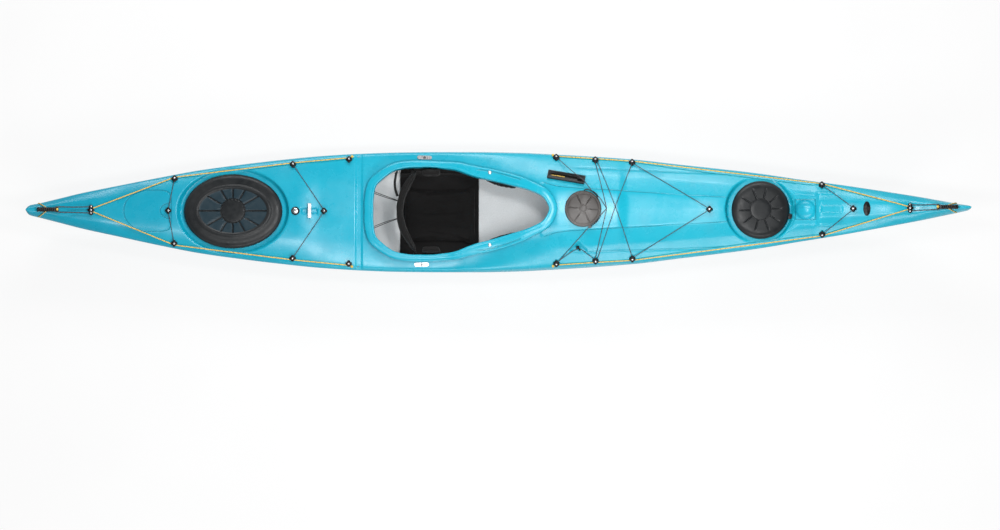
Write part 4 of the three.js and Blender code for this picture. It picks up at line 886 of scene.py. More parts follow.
def taut(stops, radius, step=0.010):
    """The way of a tight cord over the deck through its stops, with small turns at them"""
    way = [stops[0]]
    for a, b in zip(stops, stops[1:]):
        count = max(2, round((b - a).length / step))
        hull = [(0.0, a.z)]
        for k in range(1, count + 1):
            p = a.lerp(b, k / count)
            ends = min(k, count - k) * step < 0.018
            high = p.z if ends else deck_height(p.x, p.y) + radius + 0.0006
            while len(hull) > 1 and hull[-1][1] <= mix(
                hull[-2][1], high, (hull[-1][0] - hull[-2][0]) / (k / count - hull[-2][0])
            ):
                hull.pop()
            hull.append((k / count, high))
        for k in range(1, count + 1):
            t = k / count
            i = next(j for j in range(1, len(hull)) if hull[j][0] >= t - 1e-9)
            (t0, z0), (t1, z1) = hull[i - 1], hull[i]
            p = a.lerp(b, t)
            p.z = mix(z0, z1, (t - t0) / (t1 - t0))
            way.append(p)
    soft = [way[0]]
    for a, b in zip(way, way[1:]):
        soft += [a.lerp(b, 0.25), a.lerp(b, 0.75)]
    return soft + [way[-1]]


def cockpit_ring():
    """Points round the cockpit's inner edge with their outward ways, from the back round the port side"""
    sizes = cockpit_sizes()
    long = sizes.front - sizes.back
    port = [(sizes.back + a * long, b * sizes.half_width) for a, b in COCKPIT_SHARES]
    corners = port + [(x, -y) for x, y in reversed(port[1:-1])]
    count = len(corners)
    dense = []
    for i in range(count):
        a, b, c, d = (Vector(corners[(i + k) % count]) for k in (-1, 0, 1, 2))
        span = [max(1e-4, (q - p).length) ** 0.5 for p, q in ((a, b), (b, c), (c, d))]
        m1 = (c - b) + span[1] * ((b - a) / span[0] - (c - a) / (span[0] + span[1]))
        m2 = (c - b) + span[1] * ((d - c) / span[2] - (d - b) / (span[1] + span[2]))
        for k in range(16):
            t = k / 16
            dense.append(
                b + m1 * t + (3 * (c - b) - 2 * m1 - m2) * t * t + (2 * (b - c) + m1 + m2) * t**3
            )
    dense.append(dense[0])
    points = [Vector(p) for p in evenly([tuple(p) for p in dense], sizes.steps + 1)[:-1]]
    ring = []
    for i, point in enumerate(points):
        way = (points[(i + 1) % len(points)] - points[i - 1]).normalized()
        out = Vector((-way.y, way.x))
        ring.append((point, out if out.dot(point - Vector((-0.2, 0))) > 0 else -out))
    return ring


def within(point, outline):
    """Whether a point lies inside a closed outline in plan"""
    x, y = point
    inside = False
    for (ax, ay), (bx, by) in zip(outline, outline[1:] + outline[:1]):
        if (ay > y) != (by > y) and x < (bx - ax) * (y - ay) / (by - ay) + ax:
            inside = not inside
    return inside


def open_oval(bm, centre, long, wide, cell):
    """Draws the corners near an oval onto it, and takes out the faces within"""
    for vert in bm.verts:
        x, y = vert.co.x - centre, vert.co.y
        if abs(x) < long + cell and abs(y) < wide + cell:
            norm = hypot(x / long, y / wide)
            if abs(norm - 1) * min(long, wide) < cell * 0.55:
                vert.co.x, vert.co.y = centre + x / norm, y / norm
    gone = [
        face for face in bm.faces
        if all(oval_reach(v.co.x - centre, v.co.y, long, wide) < 1e-4 for v in face.verts)
    ]
    bmesh.ops.delete(bm, geom=gone, context="FACES")


NECK_INSET, NECK_STEPS = 0.0375, 160
# Where the bare inside ends, the slot in the hull by its ends and half width, the slider's way along
# the deck, and the holes for the toggles' loops from the side
BULKHEADS = (-0.692, 0.952)
SKEG_SLOT = (-1.9453, -1.6497, 0.0093)
SLIDER_WAY = (0.98214, -0.17404, 0)
LOOP_HOLES = {"stern": (-2.298, 0.303), "bow": (2.288, 0.409)}
# Places of the small fittings: x and y from above, or x and z from the side
ROUND_FITTING_X, OVAL_PLATE_X, HOOK_X, HOOK_Y = -1.013, 1.844, 0.402, -0.190
SEAT_PLATES = ((-0.366, 0.273), (-0.380, -0.267))
SIDE_BOLTS = ((0.443, 0.182), (0.830, 0.198))
THIGH_BOLTS = ((-0.038, 0.188), (-0.038, -0.176))
# Each toggle's tie: its way to the boat's middle, the x of its eyes and half of their spacing
TIES = {"stern": (1, -2.196, -2.034, 0.016), "bow": (-1, 2.187, 2.058, 0.015)}


def hatch_neck(hatch, node):
    """The collar that a lid grips, with a rolled brim and a fillet to the recess floor"""
    long, wide = hatch.half_long - NECK_INSET, hatch.half_wide - NECK_INSET
    floor, brim = hatch.floor, hatch.floor + 0.0297
    rings = (
        (-0.0025, floor - 0.02), (-0.0025, brim - 0.002), (-0.0015, brim - 0.0004), (0.0005, brim),
        (0.0022, brim - 0.0008), (0.0025, brim - 0.003), (0.0025, floor + 0.006), (0.004, floor + 0.002),
        (0.010, floor + 0.0006), (0.012, floor - 0.003), (0.0025, floor - 0.02),
    )

    def place(row, column):
        turn = 2 * pi * row / NECK_STEPS
        grow, z = rings[column % len(rings)]
        return Vector((hatch.x + (long + grow) * cos(turn), (wide + grow) * sin(turn), z))

    bm = closed_up(laid_grid(NECK_STEPS + 1, len(rings) + 1, place))
    place_piece(bm, f"{node}_neck", "shell", stands_for=(node,))


def make_shell():
    """Makes the moulded shell: the hull, the deck with its recesses, and the bare inside"""
    scene, sizes = bpy.context.scene, hull_sizes()
    rows = boat_rows()
    lines = [evenly(deck_line(x), sizes.deck_columns) for x in rows]

    def on_deck(row, column):
        y, z = lines[row][column]
        edge = min(column, sizes.deck_columns - 1 - column)
        return Vector((rows[row], y, carved(rows[row], y, z) if edge > 2 else z))

    deck = laid_grid(len(rows), sizes.deck_columns, on_deck)
    for hatch in (scene.kayak_rear_hatch, scene.kayak_front_hatch):
        open_oval(deck, hatch.x, hatch.half_long - 0.037, hatch.half_wide - 0.037, 0.006)
    open_oval(deck, scene.kayak_day_hatch.x, 0.0883, 0.0883, 0.007)
    outline = [tuple(point + out * 0.014) for point, out in cockpit_ring()]
    middles = [(face, face.calc_center_median()) for face in deck.faces]
    gone = [face for face, at in middles if -0.66 < at.x < 0.29 and within(at.xy, outline)]
    bmesh.ops.delete(deck, geom=gone, context="FACES")
    upward(deck)
    place_piece(deck, "deck_moulding", "shell", stands_for=("deck",), sharp=50)

    under = [evenly(hull_line(x), sizes.hull_columns) for x in rows]

    def on_hull(row, column):
        return Vector((rows[row], *under[row][column]))

    hull = laid_grid(len(rows), sizes.hull_columns, on_hull)
    skeg_slot(hull)
    for face in hull.faces:
        face.normal_update()
    low = min(hull.faces, key=lambda face: face.calc_center_median().z)
    if low.normal.z > 0:
        bmesh.ops.reverse_faces(hull, faces=hull.faces)
    place_piece(hull, "hull_moulding", "shell", stands_for=("hull",), sharp=50)

    steps = [mix(*BULKHEADS, k / 110) for k in range(111)]
    inner = [drawn_in(evenly(hull_line(x), 40), 0.0062) for x in steps]
    liner = laid_grid(len(steps), 40, lambda row, column: Vector((steps[row], *inner[row][column])))
    bmesh.ops.recalc_face_normals(liner, faces=liner.faces)
    piece = place_piece(liner, "shell_inside", "inside", sharp=0)
    wall = piece.modifiers.new("wall", "SOLIDIFY")
    wall.thickness, wall.offset = 0.0008, 0
    hatch_neck(scene.kayak_rear_hatch, "rear_hatch_rim")
    hatch_neck(scene.kayak_front_hatch, "front_hatch_rim")


def upward(bm):
    for face in bm.faces:
        face.normal_update()
    if sum(face.normal.z for face in bm.faces) < 0:
        bmesh.ops.reverse_faces(bm, faces=bm.faces)


def drawn_in(line, far):
    out = []
    for i, (y, z) in enumerate(line):
        before, after = line[max(i - 1, 0)], line[min(i + 1, len(line) - 1)]
        way = Vector((after[0] - before[0], after[1] - before[1])).normalized()
        out.append((y + way.y * far, z - way.x * far))
    return out


def skeg_slot(bm):
    """Cuts the slot that the skeg drops through"""
    low, high, side = SKEG_SLOT

    def near(more_x, far_y):
        middles = [(face, face.calc_center_median()) for face in bm.faces]
        return [
            face for face, at in middles
            if low - more_x < at.x < high + more_x and abs(at.y) < far_y and at.z < 0.16
        ]

    for point in ((low, 0, 0), (high, 0, 0), (0, side, 0), (0, -side, 0)):
        way = (1, 0, 0) if point[0] else (0, 1, 0)
        faces = near(0.03, 0.04)
        corners = dict.fromkeys(v for f in faces for v in f.verts)
        geom = [*corners, *dict.fromkeys(e for f in faces for e in f.edges), *faces]
        bmesh.ops.bisect_plane(bm, geom=geom, dist=1e-6, plane_co=point, plane_no=way)
    bmesh.ops.delete(bm, geom=near(0, side), context="FACES")


def make_coaming():
    """Makes the coaming: a rolled rim round the cockpit with its skirt down to the deck"""
    high = hull_sizes().height
    ring = cockpit_ring()
    profiles = []
    for point, out in ring:
        lip = along(LIP_WIDTHS, point.x)
        top = along(COAMING_TOP_SHARES, point.x / HALF_LENGTH) * high
        tip, base, apron = (deck_height(*(point + out * far)) for far in (lip, 0.012, 0.036))
        edge = max(top - 0.007, tip + 0.008)
        under = min(edge - 0.006, top - 0.012)
        face = mix(top, edge, 0.45) + 0.0012
        profiles.append(
            (
                (0.0006, base - 0.024), (0.0, base - 0.018), (0.0, top - 0.006),
                (0.0008, top - 0.0022), (0.0030, top - 0.0004), (0.0065, top + 0.0001),
                (0.0105, top - 0.0004), (0.0130, top - 0.0014), (0.0160, top - 0.0010),
                (mix(0.016, lip, 0.45), face), (lip - 0.007, edge + 0.0034),
                (lip - 0.0022, edge + 0.0022), (lip - 0.0002, edge - 0.0004),
                (lip - 0.0010, edge - 0.0034), (lip - 0.0040, edge - 0.0050), (0.0200, under),
                (0.0150, under - 0.003), (0.0135, under - 0.008), (0.0140, mix(under - 0.008, base, 0.6)),
                (0.0165, mix(base, apron, 0.2) + 0.006), (0.0240, mix(base, apron, 0.5) + 0.0016),
                (0.0340, apron + 0.0002), (0.0360, apron - 0.0020), (0.0110, base - 0.006),
                (0.0080, base - 0.024),
            )
        )
    count, wide = len(ring), len(profiles[0])

    def place(row, column):
        point, out = ring[row % count]
        far, z = profiles[row % count][column % wide]
        at = point + out * far
        return Vector((at.x, at.y, z))

    bm = closed_up(laid_grid(count + 1, wide + 1, place))
    stands_for = ("cockpit_coaming",)
    place_piece(bm, "coaming_rim", "shell", stands_for=stands_for, sharp=60)


def lid(name, node, body, hatch, rings, grooves, base, look, teeth=0, start=0.0, extra=None):
    """A lid from its rings, with radial grooves pressed into its field"""
    steps = 360
    inner, outer, depth, width = grooves[1:]

    def place(row, column):
        long, wide, rise = rings[row][0], rings[row][-2], rings[row][-1]
        turn = 2 * pi * column / steps
        reach = Vector((long * cos(turn), wide * sin(turn)))
        if row < len(rings) - 1 and inner <= long <= outer and rise > 0.002:
            spoke = 2 * pi / grooves[0]
            angle = atan2(reach.y, reach.x) - start
            off = abs((angle + spoke / 2) % spoke - spoke / 2) * reach.length
            rise -= depth * smooth(1.6 - off / width)
        if teeth and rise < 0.0035 and long < 0.07:
            rise += 0.0030 * smooth(0.5 + 3.0 * sin(turn * teeth))
        return Vector((hatch.x + reach.x, reach.y, base + rise))

    bm = closed_up(laid_grid(len(rings), steps + 1, place))
    if extra:
        extra(bm)
    place_piece(bm, name, look, body=body, stands_for=(node,), sharp=50)


def make_lids():
    """Makes the three rubber hatch lids"""
    scene = bpy.context.scene
    lid(
        "rear_lid_cover", "rear_hatch_lid", "rear_lid", scene.kayak_rear_hatch, REAR_LID_RINGS,
        (12, 0.064, 0.1695, 0.0052, 0.0034), 0.2653 - 0.0005, "rubber", teeth=20,
    )
    lid(
        "front_lid_cover", "front_hatch_lid", "front_lid", scene.kayak_front_hatch, FRONT_LID_RINGS,
        (10, 0.0551, 0.097, 0.0052, 0.0028), 0.3263 - 0.0005, "rubber", start=0.05, extra=front_tab,
    )
    lid(
        "day_lid_cover", "day_hatch_lid", "day_lid", scene.kayak_day_hatch, DAY_LID_RINGS,
        (6, 0.026, 0.0755, 0.0034, 0.0020), 0.3703, "day_rubber", start=-0.09, extra=day_tabs,
    )


def front_tab(bm):
    tab = block((0.024, 0.026, 0.007), 0.003, 3)
    add_to(bm, tab, Matrix.Translation((1.463, -0.033, 0.312)) @ Matrix.Rotation(-0.2, 4, "Z"))


def day_tabs(bm):
    tab = block((0.020, 0.016, 0.005), 0.002, 3)
    add_to(bm, tab, Matrix.Translation((0.461, -0.0865, 0.366)) @ Matrix.Rotation(-1.1, 4, "Z"))
    arc = [
        round_point(r, t, DAY_LID_X, z)
        for t, r, z in (
            (1.52, 0.090, 0.3715), (1.46, 0.096, 0.3720), (1.30, 0.0985, 0.3710), (1.05, 0.099, 0.3705),
            (0.85, 0.0985, 0.3710), (0.72, 0.096, 0.3720), (0.66, 0.090, 0.3715),
        )
    ]
    handle = cord(curve_points(arc, 40), 0.0030)
    place_piece(handle, "day_lid_handle", "plastic", body="day_lid")


def softened(node, name, look, body="boat", width=0.0012, levels=0):
    """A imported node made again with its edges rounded, or smoothed all over"""
    piece = place_piece(merged_copy(node), name, look, body=body, stands_for=(node,), sharp=40)
    if width:
        edge = piece.modifiers.new("edge", "BEVEL")
        edge.width, edge.segments, edge.limit_method = width, 2, "ANGLE"
        edge.angle_limit = radians(32)
        edge.harden_normals = True
    if levels:
        piece.data.shade_smooth()
        fine = piece.modifiers.new("fine", "SUBSURF")
        fine.levels = fine.render_levels = levels
    return piece


def screw_head(radius, height):
    """A domed screw head with a socket"""
    shares = ((0, -1), (1, -1), (1, 0.25), (0.86, 0.7), (0.5, 1), (0.30, 1), (0.26, 0.3), (0, 0.3))
    return turned([(radius * out, height * up) for out, up in shares], 24)


def knot_shape():
    """A pulled knot: a lump with two turns of line round it"""
    turns = [pi * k / 12 for k in range(13)]
    bm = turned([(KNOT_RADIUS * sin(t), -KNOT_RADIUS * cos(t)) for t in turns], 20)
    for lean in (0.5, -0.7):
        ring = [Matrix.Rotation(lean, 3, "X") @ round_point(0.0046, pi * k / 10) for k in range(21)]
        add_to(bm, cord(ring, 0.0021, 8))
    return bm


def eye_shape():
    """A deck eye: a lobed foot, a waist for the cords and a lobed cap round its screw"""
    sizes = gear_sizes()
    full_r, high = sizes.eye_radius, sizes.eye_height
    rings = (
        (0.0, -0.25, 0), (1.02, -0.25, 1), (1.0, 0.10, 1), (0.94, 0.20, 1), (0.70, 0.28, 0.6),
        (0.62, 0.36, 0.3), (0.62, 0.55, 0.3), (0.78, 0.64, 0.7), (0.96, 0.70, 1), (1.0, 0.80, 1),
        (0.97, 0.92, 1), (0.86, 1.0, 0.9), (0.56, 1.02, 0.2), (0.50, 0.90, 0), (0.0, 0.88, 0),
    )

    def place(row, column):
        reach, lift, lobe = rings[row]
        turn = 2 * pi * column / 48
        r = full_r * reach * (1 - lobe * 0.26 * (0.5 + 0.5 * cos(4 * turn)) ** 1.5)
        return round_point(r, turn, z=high * lift)

    return closed_up(laid_grid(len(rings), 49, place))


def skin(bm, rows):
    """Faces between rows of four corners, and one at either end"""
    for a, b in zip(rows, rows[1:]):
        for k in range(4):
            bm.faces.new((a[k], a[k - 1], b[k - 1], b[k]))
    bm.faces.new(rows[0])
    bm.faces.new(rows[-1])


def ribbon(points, width_way, wide, thick):
    """A strap along points, flat to a way"""
    bm, rows = bmesh.new(), []
    for i, point in enumerate(points):
        way = (points[min(i + 1, len(points) - 1)] - points[max(i - 1, 0)]).normalized()
        side = (width_way - way * way.dot(width_way)).normalized() * wide / 2
        over = side.cross(way).normalized() * thick / 2
        corners = ((1, 1), (-1, 1), (-1, -1), (1, -1))
        rows.append([bm.verts.new(point + a * side + b * over) for a, b in corners])
    skin(bm, rows)
    return closed_up(bm)


def deck_line_stops(knot, between, end, ahead):
    """From a knot beside one eye, on the outer side of the next ones, round the eye at the boat's end"""
    port = [at_eye(f"{knot}_port", ahead, 0.015, LINE_LIFT)]
    port += [at_eye(f"{name}_port", 0, 0.0085, LINE_LIFT) for name in (knot, *between)]
    turn = [at_eye(end, 0, 0.005, LINE_LIFT), at_eye(end, 0, -0.005, LINE_LIFT)]
    return port + turn + other_side(port)[::-1]


def tie_stops(outer, centre):
    port = [at_eye(f"{outer}_port"), at_eye(centre, 0, 0.004)]
    return port + other_side(port)[::-1]


def foredeck_stops():
    """The two elastics that meet before the day hatch"""
    apex = over_deck(0.546, 0.003, 0.006)
    port_lid = [over_deck(*round_point(0.101, t, DAY_LID_X).xy, 0.005) for t in (1.12, 0.6)]
    near_lid = [
        over_deck(*round_point(0.0945, -t, DAY_LID_X).xy, 0.003) for t in (1.25, 1.0, 0.75, 0.5, 0.3)
    ]
    slider = [Vector((0.374, 0.190, 0.3585)), Vector((0.432, 0.143, 0.3625))]
    one = [at_eye("cockpit_port"), *slider, *port_lid, apex, at_eye("knee_starboard", -0.004)]
    two = [at_eye("cockpit_starboard"), *near_lid, apex, at_eye("knee_port", -0.004)]
    return [one, two]


def cross_stops():
    """One elastic from the knee eyes over its crossing, round the shin eyes to the middle eye"""
    return [
        at_eye("knee_port", 0.006), over_deck(0.589, 0.013, 0.0035), at_eye("shin_starboard", 0, -0.006),
        at_eye("foredeck_centre", -0.004, -0.005), at_eye("foredeck_centre", -0.004, 0.005),
        at_eye("shin_port", 0, -0.006), over_deck(0.589, 0.013, 0.0085), at_eye("knee_starboard", 0.006),
    ]


def make_deck_gear():
    """Makes the deck eyes with their screws, the deck lines, elastics, toggles and the lock bar"""
    eyes, screws = bmesh.new(), bmesh.new()
    for x, y in EYES.values():
        seat = deck_seat(x, y, pi / 4)
        add_to(eyes, eye_shape(), seat)
        add_to(screws, screw_head(0.0047, 0.0015), seat @ Matrix.Translation((0, 0, 0.0158)))
    place_piece(eyes, "deck_eyes", "plastic", stands_for=tuple(EYES), sharp=50)
    place_piece(screws, "eye_screws", "steel")
    for name, stops in (
        ("rear_deck_line", deck_line_stops("seat", ("rear", "aft"), "stern", 0.016)),
        ("front_deck_line", deck_line_stops("cockpit", ("knee", "shin", "fore"), "bow", -0.016)),
    ):
        bm = cord(taut(stops, LINE_RADIUS), LINE_RADIUS)
        for knot in (stops[0], stops[-1]):
            add_to(bm, knot_shape(), Matrix.Translation(knot + Vector((0, 0, 0.002))))
        place_piece(bm, f"{name}_braid", "line", stands_for=(name,))
    thin = gear_sizes().elastic_radius
    for name, ways in (
        ("rear_elastic_aft", [tie_stops("aft", "aft_centre")]),
        ("rear_elastic_forward", [tie_stops("rear", "rear_centre")]),
        ("bow_elastic", [tie_stops("fore", "fore_centre")]), ("foredeck_elastic_aft", foredeck_stops()),
        ("foredeck_elastic_cross", [cross_stops()]),
    ):
        bm = bmesh.new()
        for stops in ways:
            add_to(bm, cord(taut(stops, thin), thin))
        place_piece(bm, f"{name}_braid", "elastic", stands_for=(name,))
    for end, way in (("stern", -1), ("bow", 1)):
        toggle(end, way)
    softened("security_bar", "lock_bar", "steel", width=0.001)
    ties()
    fittings()


def toggle(end, way):
    """A ribbed grip on its loop of line, tied through the hull's side"""
    low, high = (Vector(p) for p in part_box(f"{end}_toggle"))
    half, centre = (high.x - low.x) / 2, (low + high) / 2
    profile = [(0.0, -half), (0.0085, -half), (GRIP_RADIUS, -half + 0.003), (GRIP_RADIUS, -half + 0.009)]
    for k in range(GRIP_RIBS):
        at = -half + 0.013 + k * (2 * half - 0.026) / (GRIP_RIBS - 0.5)
        rib = ((0.0098, 0), (GRIP_RADIUS, 0.0022), (GRIP_RADIUS, 0.0056), (0.0098, 0.0078))
        profile += [(r, at + up) for r, up in rib]
    profile += [(GRIP_RADIUS, half - 0.009), (GRIP_RADIUS, half - 0.003), (0.0085, half), (0.0, half)]
    grip = turned(profile, 32)
    lean = atan2((high.z - low.z - 2 * 0.0108) * way, 2 * half)
    lie = Matrix.Rotation(-lean, 4, "Y") @ Matrix.Rotation(pi / 2, 4, "Y")
    lie.translation = (centre.x, 0, centre.z)
    bmesh.ops.transform(grip, matrix=lie, verts=grip.verts)
    body, node = f"{end}_grip", f"{end}_toggle"
    place_piece(grip, f"{node}_grip", "plastic", body, (node,), 50)
    hole_x, hole_z = LOOP_HOLES[end]
    whole = deck_line(hole_x) + hull_line(hole_x)
    side = min((p for p in whole if p[0] > 0), key=lambda p: abs(p[1] - hole_z))[0]
    stops = [
        Vector((hole_x, side - 0.004, hole_z - 0.002)),
        Vector((hole_x - way * 0.004, side + 0.003, hole_z + 0.004)),
        Vector((centre.x + way * 0.012, 0.0115, centre.z + 0.001)),
        Vector((centre.x + way * 0.008, 0.0060, centre.z + 0.001)),
    ]
    loop = cord(curve_points(stops + other_side(stops)[::-1], 64), TIE_RADIUS)
    knot_at = Vector((centre.x - way * (half - 0.006), 0, centre.z + 0.0105))
    add_to(loop, knot_shape(), Matrix.Translation(knot_at))
    place_piece(loop, f"{node}_loop", "line", body, (f"{node}_cord",))


def ties():
    """Elastics that hold the carrying toggles down to double eyes"""
    eye = (
        (0, -0.004), (0.0105, -0.004), (0.0105, 0.002), (0.0085, 0.005), (0.006, 0.0065), (0.006, 0.010),
        (0.0085, 0.0115), (0.0085, 0.015), (0.006, 0.0165), (0, 0.0165),
    )
    for end, (way, grip_x, eye_x, half) in TIES.items():
        low, high = (Vector(p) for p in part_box(f"{end}_toggle"))
        inner = high if end == "stern" else low
        stops = [
            over_deck(eye_x, half, 0.012), over_deck(mix(eye_x, grip_x, 0.5), half * 0.85, 0.010),
            Vector((inner.x - way * 0.006, 0.0125, mix(low.z, high.z, 0.55))),
        ]
        turn = Vector((inner.x - way * 0.020, 0, mix(low.z, high.z, 0.62) + 0.003))
        bm = cord(curve_points([*stops, turn, *other_side(stops)[::-1]], 72), TIE_RADIUS)
        piece = place_piece(bm, f"{end}_toggle_tie", "elastic", body=None)
        start, finish = over_deck(eye_x - way * 0.02, 0, 0.01), Vector((inner.x, 0, inner.z))
        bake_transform(piece)
        eyes, heads = bmesh.new(), bmesh.new()
        for side in (half, -half):
            seat = deck_seat(eye_x, side)
            add_to(eyes, turned(eye, 28), seat)
            add_to(heads, screw_head(0.0042, 0.0014), seat @ Matrix.Translation((0, 0, 0.0168)))
        bridge = block((0.014, half * 2, 0.006), 0.002)
        add_to(eyes, bridge, deck_seat(eye_x, 0, 0, 0.0005))
        place_piece(eyes, f"{end}_double_eye", "plastic")
        place_piece(heads, f"{end}_double_eye_screws", "steel")


def fittings():
    """Plates, bolts, the hook for a paddle and a round fitting behind the cockpit"""
    ring = (
        (0.0150, 0.0020), (0.0158, 0.0044), (0.0185, 0.0050), (0.0208, 0.0032), (0.0215, -0.004),
        (0.0150, -0.004), (0.0150, 0.0020),
    )
    dome = (
        (0, 0.0062), (0.0045, 0.0060), (0.0052, 0.0050), (0.0105, 0.0044), (0.0142, 0.0024),
        (0.0146, -0.003), (0, -0.003),
    )
    oval = ((0, 0.0014), (0.017, 0.0012), (0.0183, 0.0002), (0.0183, -0.002), (0, -0.002))
    for profile, steps, stretch, x, name, look in (
        (ring, 48, 1, ROUND_FITTING_X, "round_fitting", "plastic"),
        (dome, 48, 1, ROUND_FITTING_X, "round_fitting_cap", "steel"),
        (oval, 56, 1.97, OVAL_PLATE_X, "plain_oval_plate", "plastic"),
    ):
        shape = turned(profile, steps, stretch)
        bmesh.ops.transform(shape, matrix=deck_seat(x, 0), verts=shape.verts)
        place_piece(shape, name, look)
    pill = ((0, 0.0026), (0.0092, 0.0026), (0.0102, 0.0018), (0.0102, -0.002), (0, -0.002))
    cap = ((0, 0.0052), (0.0048, 0.0048), (0.0066, 0.0026), (0.0066, 0.0), (0, 0.0))
    plates, heads = bmesh.new(), bmesh.new()
    for x, side in SEAT_PLATES:
        seat = deck_seat(x, side, -0.03 if side > 0 else 0.03)
        plate = turned(pill, 32)
        for vert in plate.verts:
            vert.co.x += copysign(0.027, vert.co.x) if abs(vert.co.x) > 1e-5 else 0
        add_to(plates, closed_up(plate), seat)
        add_to(heads, turned(cap, 24), seat)
    for side in (1, -1):
        for x, z in SIDE_BOLTS:
            line = hull_line(x)
            near = min(line, key=lambda p: abs(p[1] - z) + (0 if p[0] * side > 0 else 1))
            lean = Matrix.Rotation(side * radians(-68), 4, "X")
            spot = Matrix.Translation((x, near[0], near[1]))
            add_to(heads, screw_head(0.0075, 0.0028), spot @ lean)
    place_piece(plates, "seat_plates", "steel")
    place_piece(heads, "seat_and_rail_bolts", "dull_steel")
    hook = bmesh.new()
    floor = deck_height(HOOK_X, HOOK_Y - 0.002) - 0.006
    add_to(hook, block((0.016, 0.018, 0.006), 0.002), Matrix.Translation((HOOK_X, HOOK_Y, floor)))
    bend = (
        (0.396, -0.186, floor + 0.002), (0.398, -0.187, floor + 0.012), (0.404, -0.192, floor + 0.020),
        (0.411, -0.201, floor + 0.019), (0.413, -0.206, floor + 0.010),
    )
    add_to(hook, cord(curve_points(bend, 24), 0.0034))
    place_piece(hook, "paddle_hook", "plastic", sharp=45)
    tie = [
        over_deck(0.295, -0.264, 0.010), over_deck(0.34, -0.232, 0.007), (0.404, -0.1965, floor + 0.0125),
        over_deck(0.45, -0.222, 0.007), over_deck(0.491, -0.251, 0.010),
    ]
    tied = cord(curve_points(tie, 60), gear_sizes().elastic_radius)
    place_piece(tied, "paddle_elastic", "elastic")


def make_skeg():
    """Makes the skeg, its box, pin and cable, and the slider that works it"""
    softened("skeg_slider_housing", "slider_housing", "plastic", width=0.0018)
    softened("skeg_blade", "skeg_fin", "plastic", "skeg", 0.0014)
    softened("skeg_cable", "skeg_cable_tube", "plastic", width=0, levels=1)
    dress("skeg_box", "plastic")
    dress("skeg_pivot_pin", "steel")
    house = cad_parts["skeg_slider_housing"].data
    tops = (face.normal * face.area for face in house.polygons if face.normal.z > 0.8)
    up = sum(tops, Vector()).normalized()
    way = Vector(SLIDER_WAY)
    way = (way - up * way.dot(up)).normalized()
    low, high = (Vector(p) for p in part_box("skeg_slider_housing"))
    middle = (low + high) / 2
    top = max(up.dot(vert.co - middle) for vert in house.vertices)
    lie = Matrix((way, up.cross(way), up)).transposed().to_4x4()
    strip = block((0.074, 0.006, 0.0010), 0.0003)
    slot_floor = middle + up * (top - 0.0093)
    marks = bmesh.new()
    add_to(marks, strip, Matrix.Translation(slot_floor - way * 0.045) @ lie)
    place_piece(marks, "slider_scale", "line")
    knob = merged_copy("skeg_slider_knob")
    spot = sum((vert.co for vert in knob.verts), Vector()) / len(knob.verts)
    crown = max(up.dot(vert.co - spot) for vert in knob.verts)
    for k in range(5):
        rib = block((0.0016, 0.0100, 0.0022), 0.0005)
        at = spot + up * (crown - 0.0004) + way * (k - 2) * 0.0036
        add_to(knob, rib, Matrix.Translation(at) @ lie)
    stands_for = ("skeg_slider_knob",)
    piece = place_piece(knob, "slider_knob", "plastic", "skeg_knob", stands_for)
    edge = piece.modifiers.new("edge", "BEVEL")
    edge.width, edge.segments, edge.limit_method = 0.0009, 2, "ANGLE"


def bumps_of(point, lumps, depth):
    """How far soft stuff bulges at a point, at so many lumps a metre"""
    return noise.noise(point * lumps) * depth


# Height of the seat's side edge at places along it
SKIRT_EDGE = (
    (-0.488, 0.099), (-0.438, 0.129), (-0.416, 0.214), (-0.317, 0.214), (-0.291, 0.129), (-0.193, 0.091),
    (-0.104, 0.080),
)


def looked_up(table, at):
    """A value between the stops of a table"""
    for (a, low), (b, high) in zip(table, table[1:]):
        if at <= b:
            return mix(low, high, (at - a) / (b - a))
    return table[-1][1]


def cushion(node, name, body, cell, cap, crease, look="cover"):
    """A pad blown up from its plain solid by a cloth run, then creased by a formula"""
    piece = linked(merged_copy(node), name)
    cut = piece.modifiers.new("cut", "REMESH")
    cut.mode, cut.voxel_size = "VOXEL", cell
    ease = piece.modifiers.new("ease", "SMOOTH")
    ease.factor, ease.iterations = 0.5, 6
    apply_all(piece)
    start = [vert.co.copy() for vert in piece.data.vertices]
    blow_up(piece)
    for vert, old in zip(piece.data.vertices, start):
        move = vert.co - old
        if move.length > cap:
            vert.co = old + move.normalized() * cap
    centre = sum(start, Vector()) / len(start)
    for vert in piece.data.vertices:
        vert.co += vert.normal * crease(vert.co, vert.co - centre)
    fine = piece.modifiers.new("fine", "SUBSURF")
    fine.levels = fine.render_levels = 1
    apply_all(piece)
    piece.data.shade_smooth()
    piece.data.materials.clear()
    piece.data.materials.append(look_of(look))
    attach(piece, body)
    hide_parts(node)
    return piece


def apply_all(piece):
    """Leaves the piece with the mesh that its modifiers make"""
    context = bpy.context
    context.view_layer.update()
    shape = bpy.data.meshes.new_from_object(piece.evaluated_get(context.evaluated_depsgraph_get()))
    old, piece.data = piece.data, shape
    piece.modifiers.clear()
    bpy.data.meshes.remove(old)


def blow_up(piece):
    """Runs the cover as cloth with pressure inside, for a few frames"""
    scene = bpy.context.scene
    cloth = piece.modifiers.new("cloth", "CLOTH")
    setup = cloth.settings
    setup.use_pressure, setup.uniform_pressure_force = True, CLOTH["pressure"]
    setup.quality, setup.mass, setup.air_damping = 5, 0.3, 2.0
    setup.tension_stiffness = setup.compression_stiffness = 12
    setup.bending_stiffness = 0.4
    setup.effector_weights.gravity = 0
    cloth.collision_settings.use_collision = False
    cloth.point_cache.frame_start, cloth.point_cache.frame_end = 1, CLOTH["frames"]
    for at in range(1, CLOTH["frames"] + 1):
        scene.frame_set(at)
    apply_all(piece)
    scene.frame_set(1)


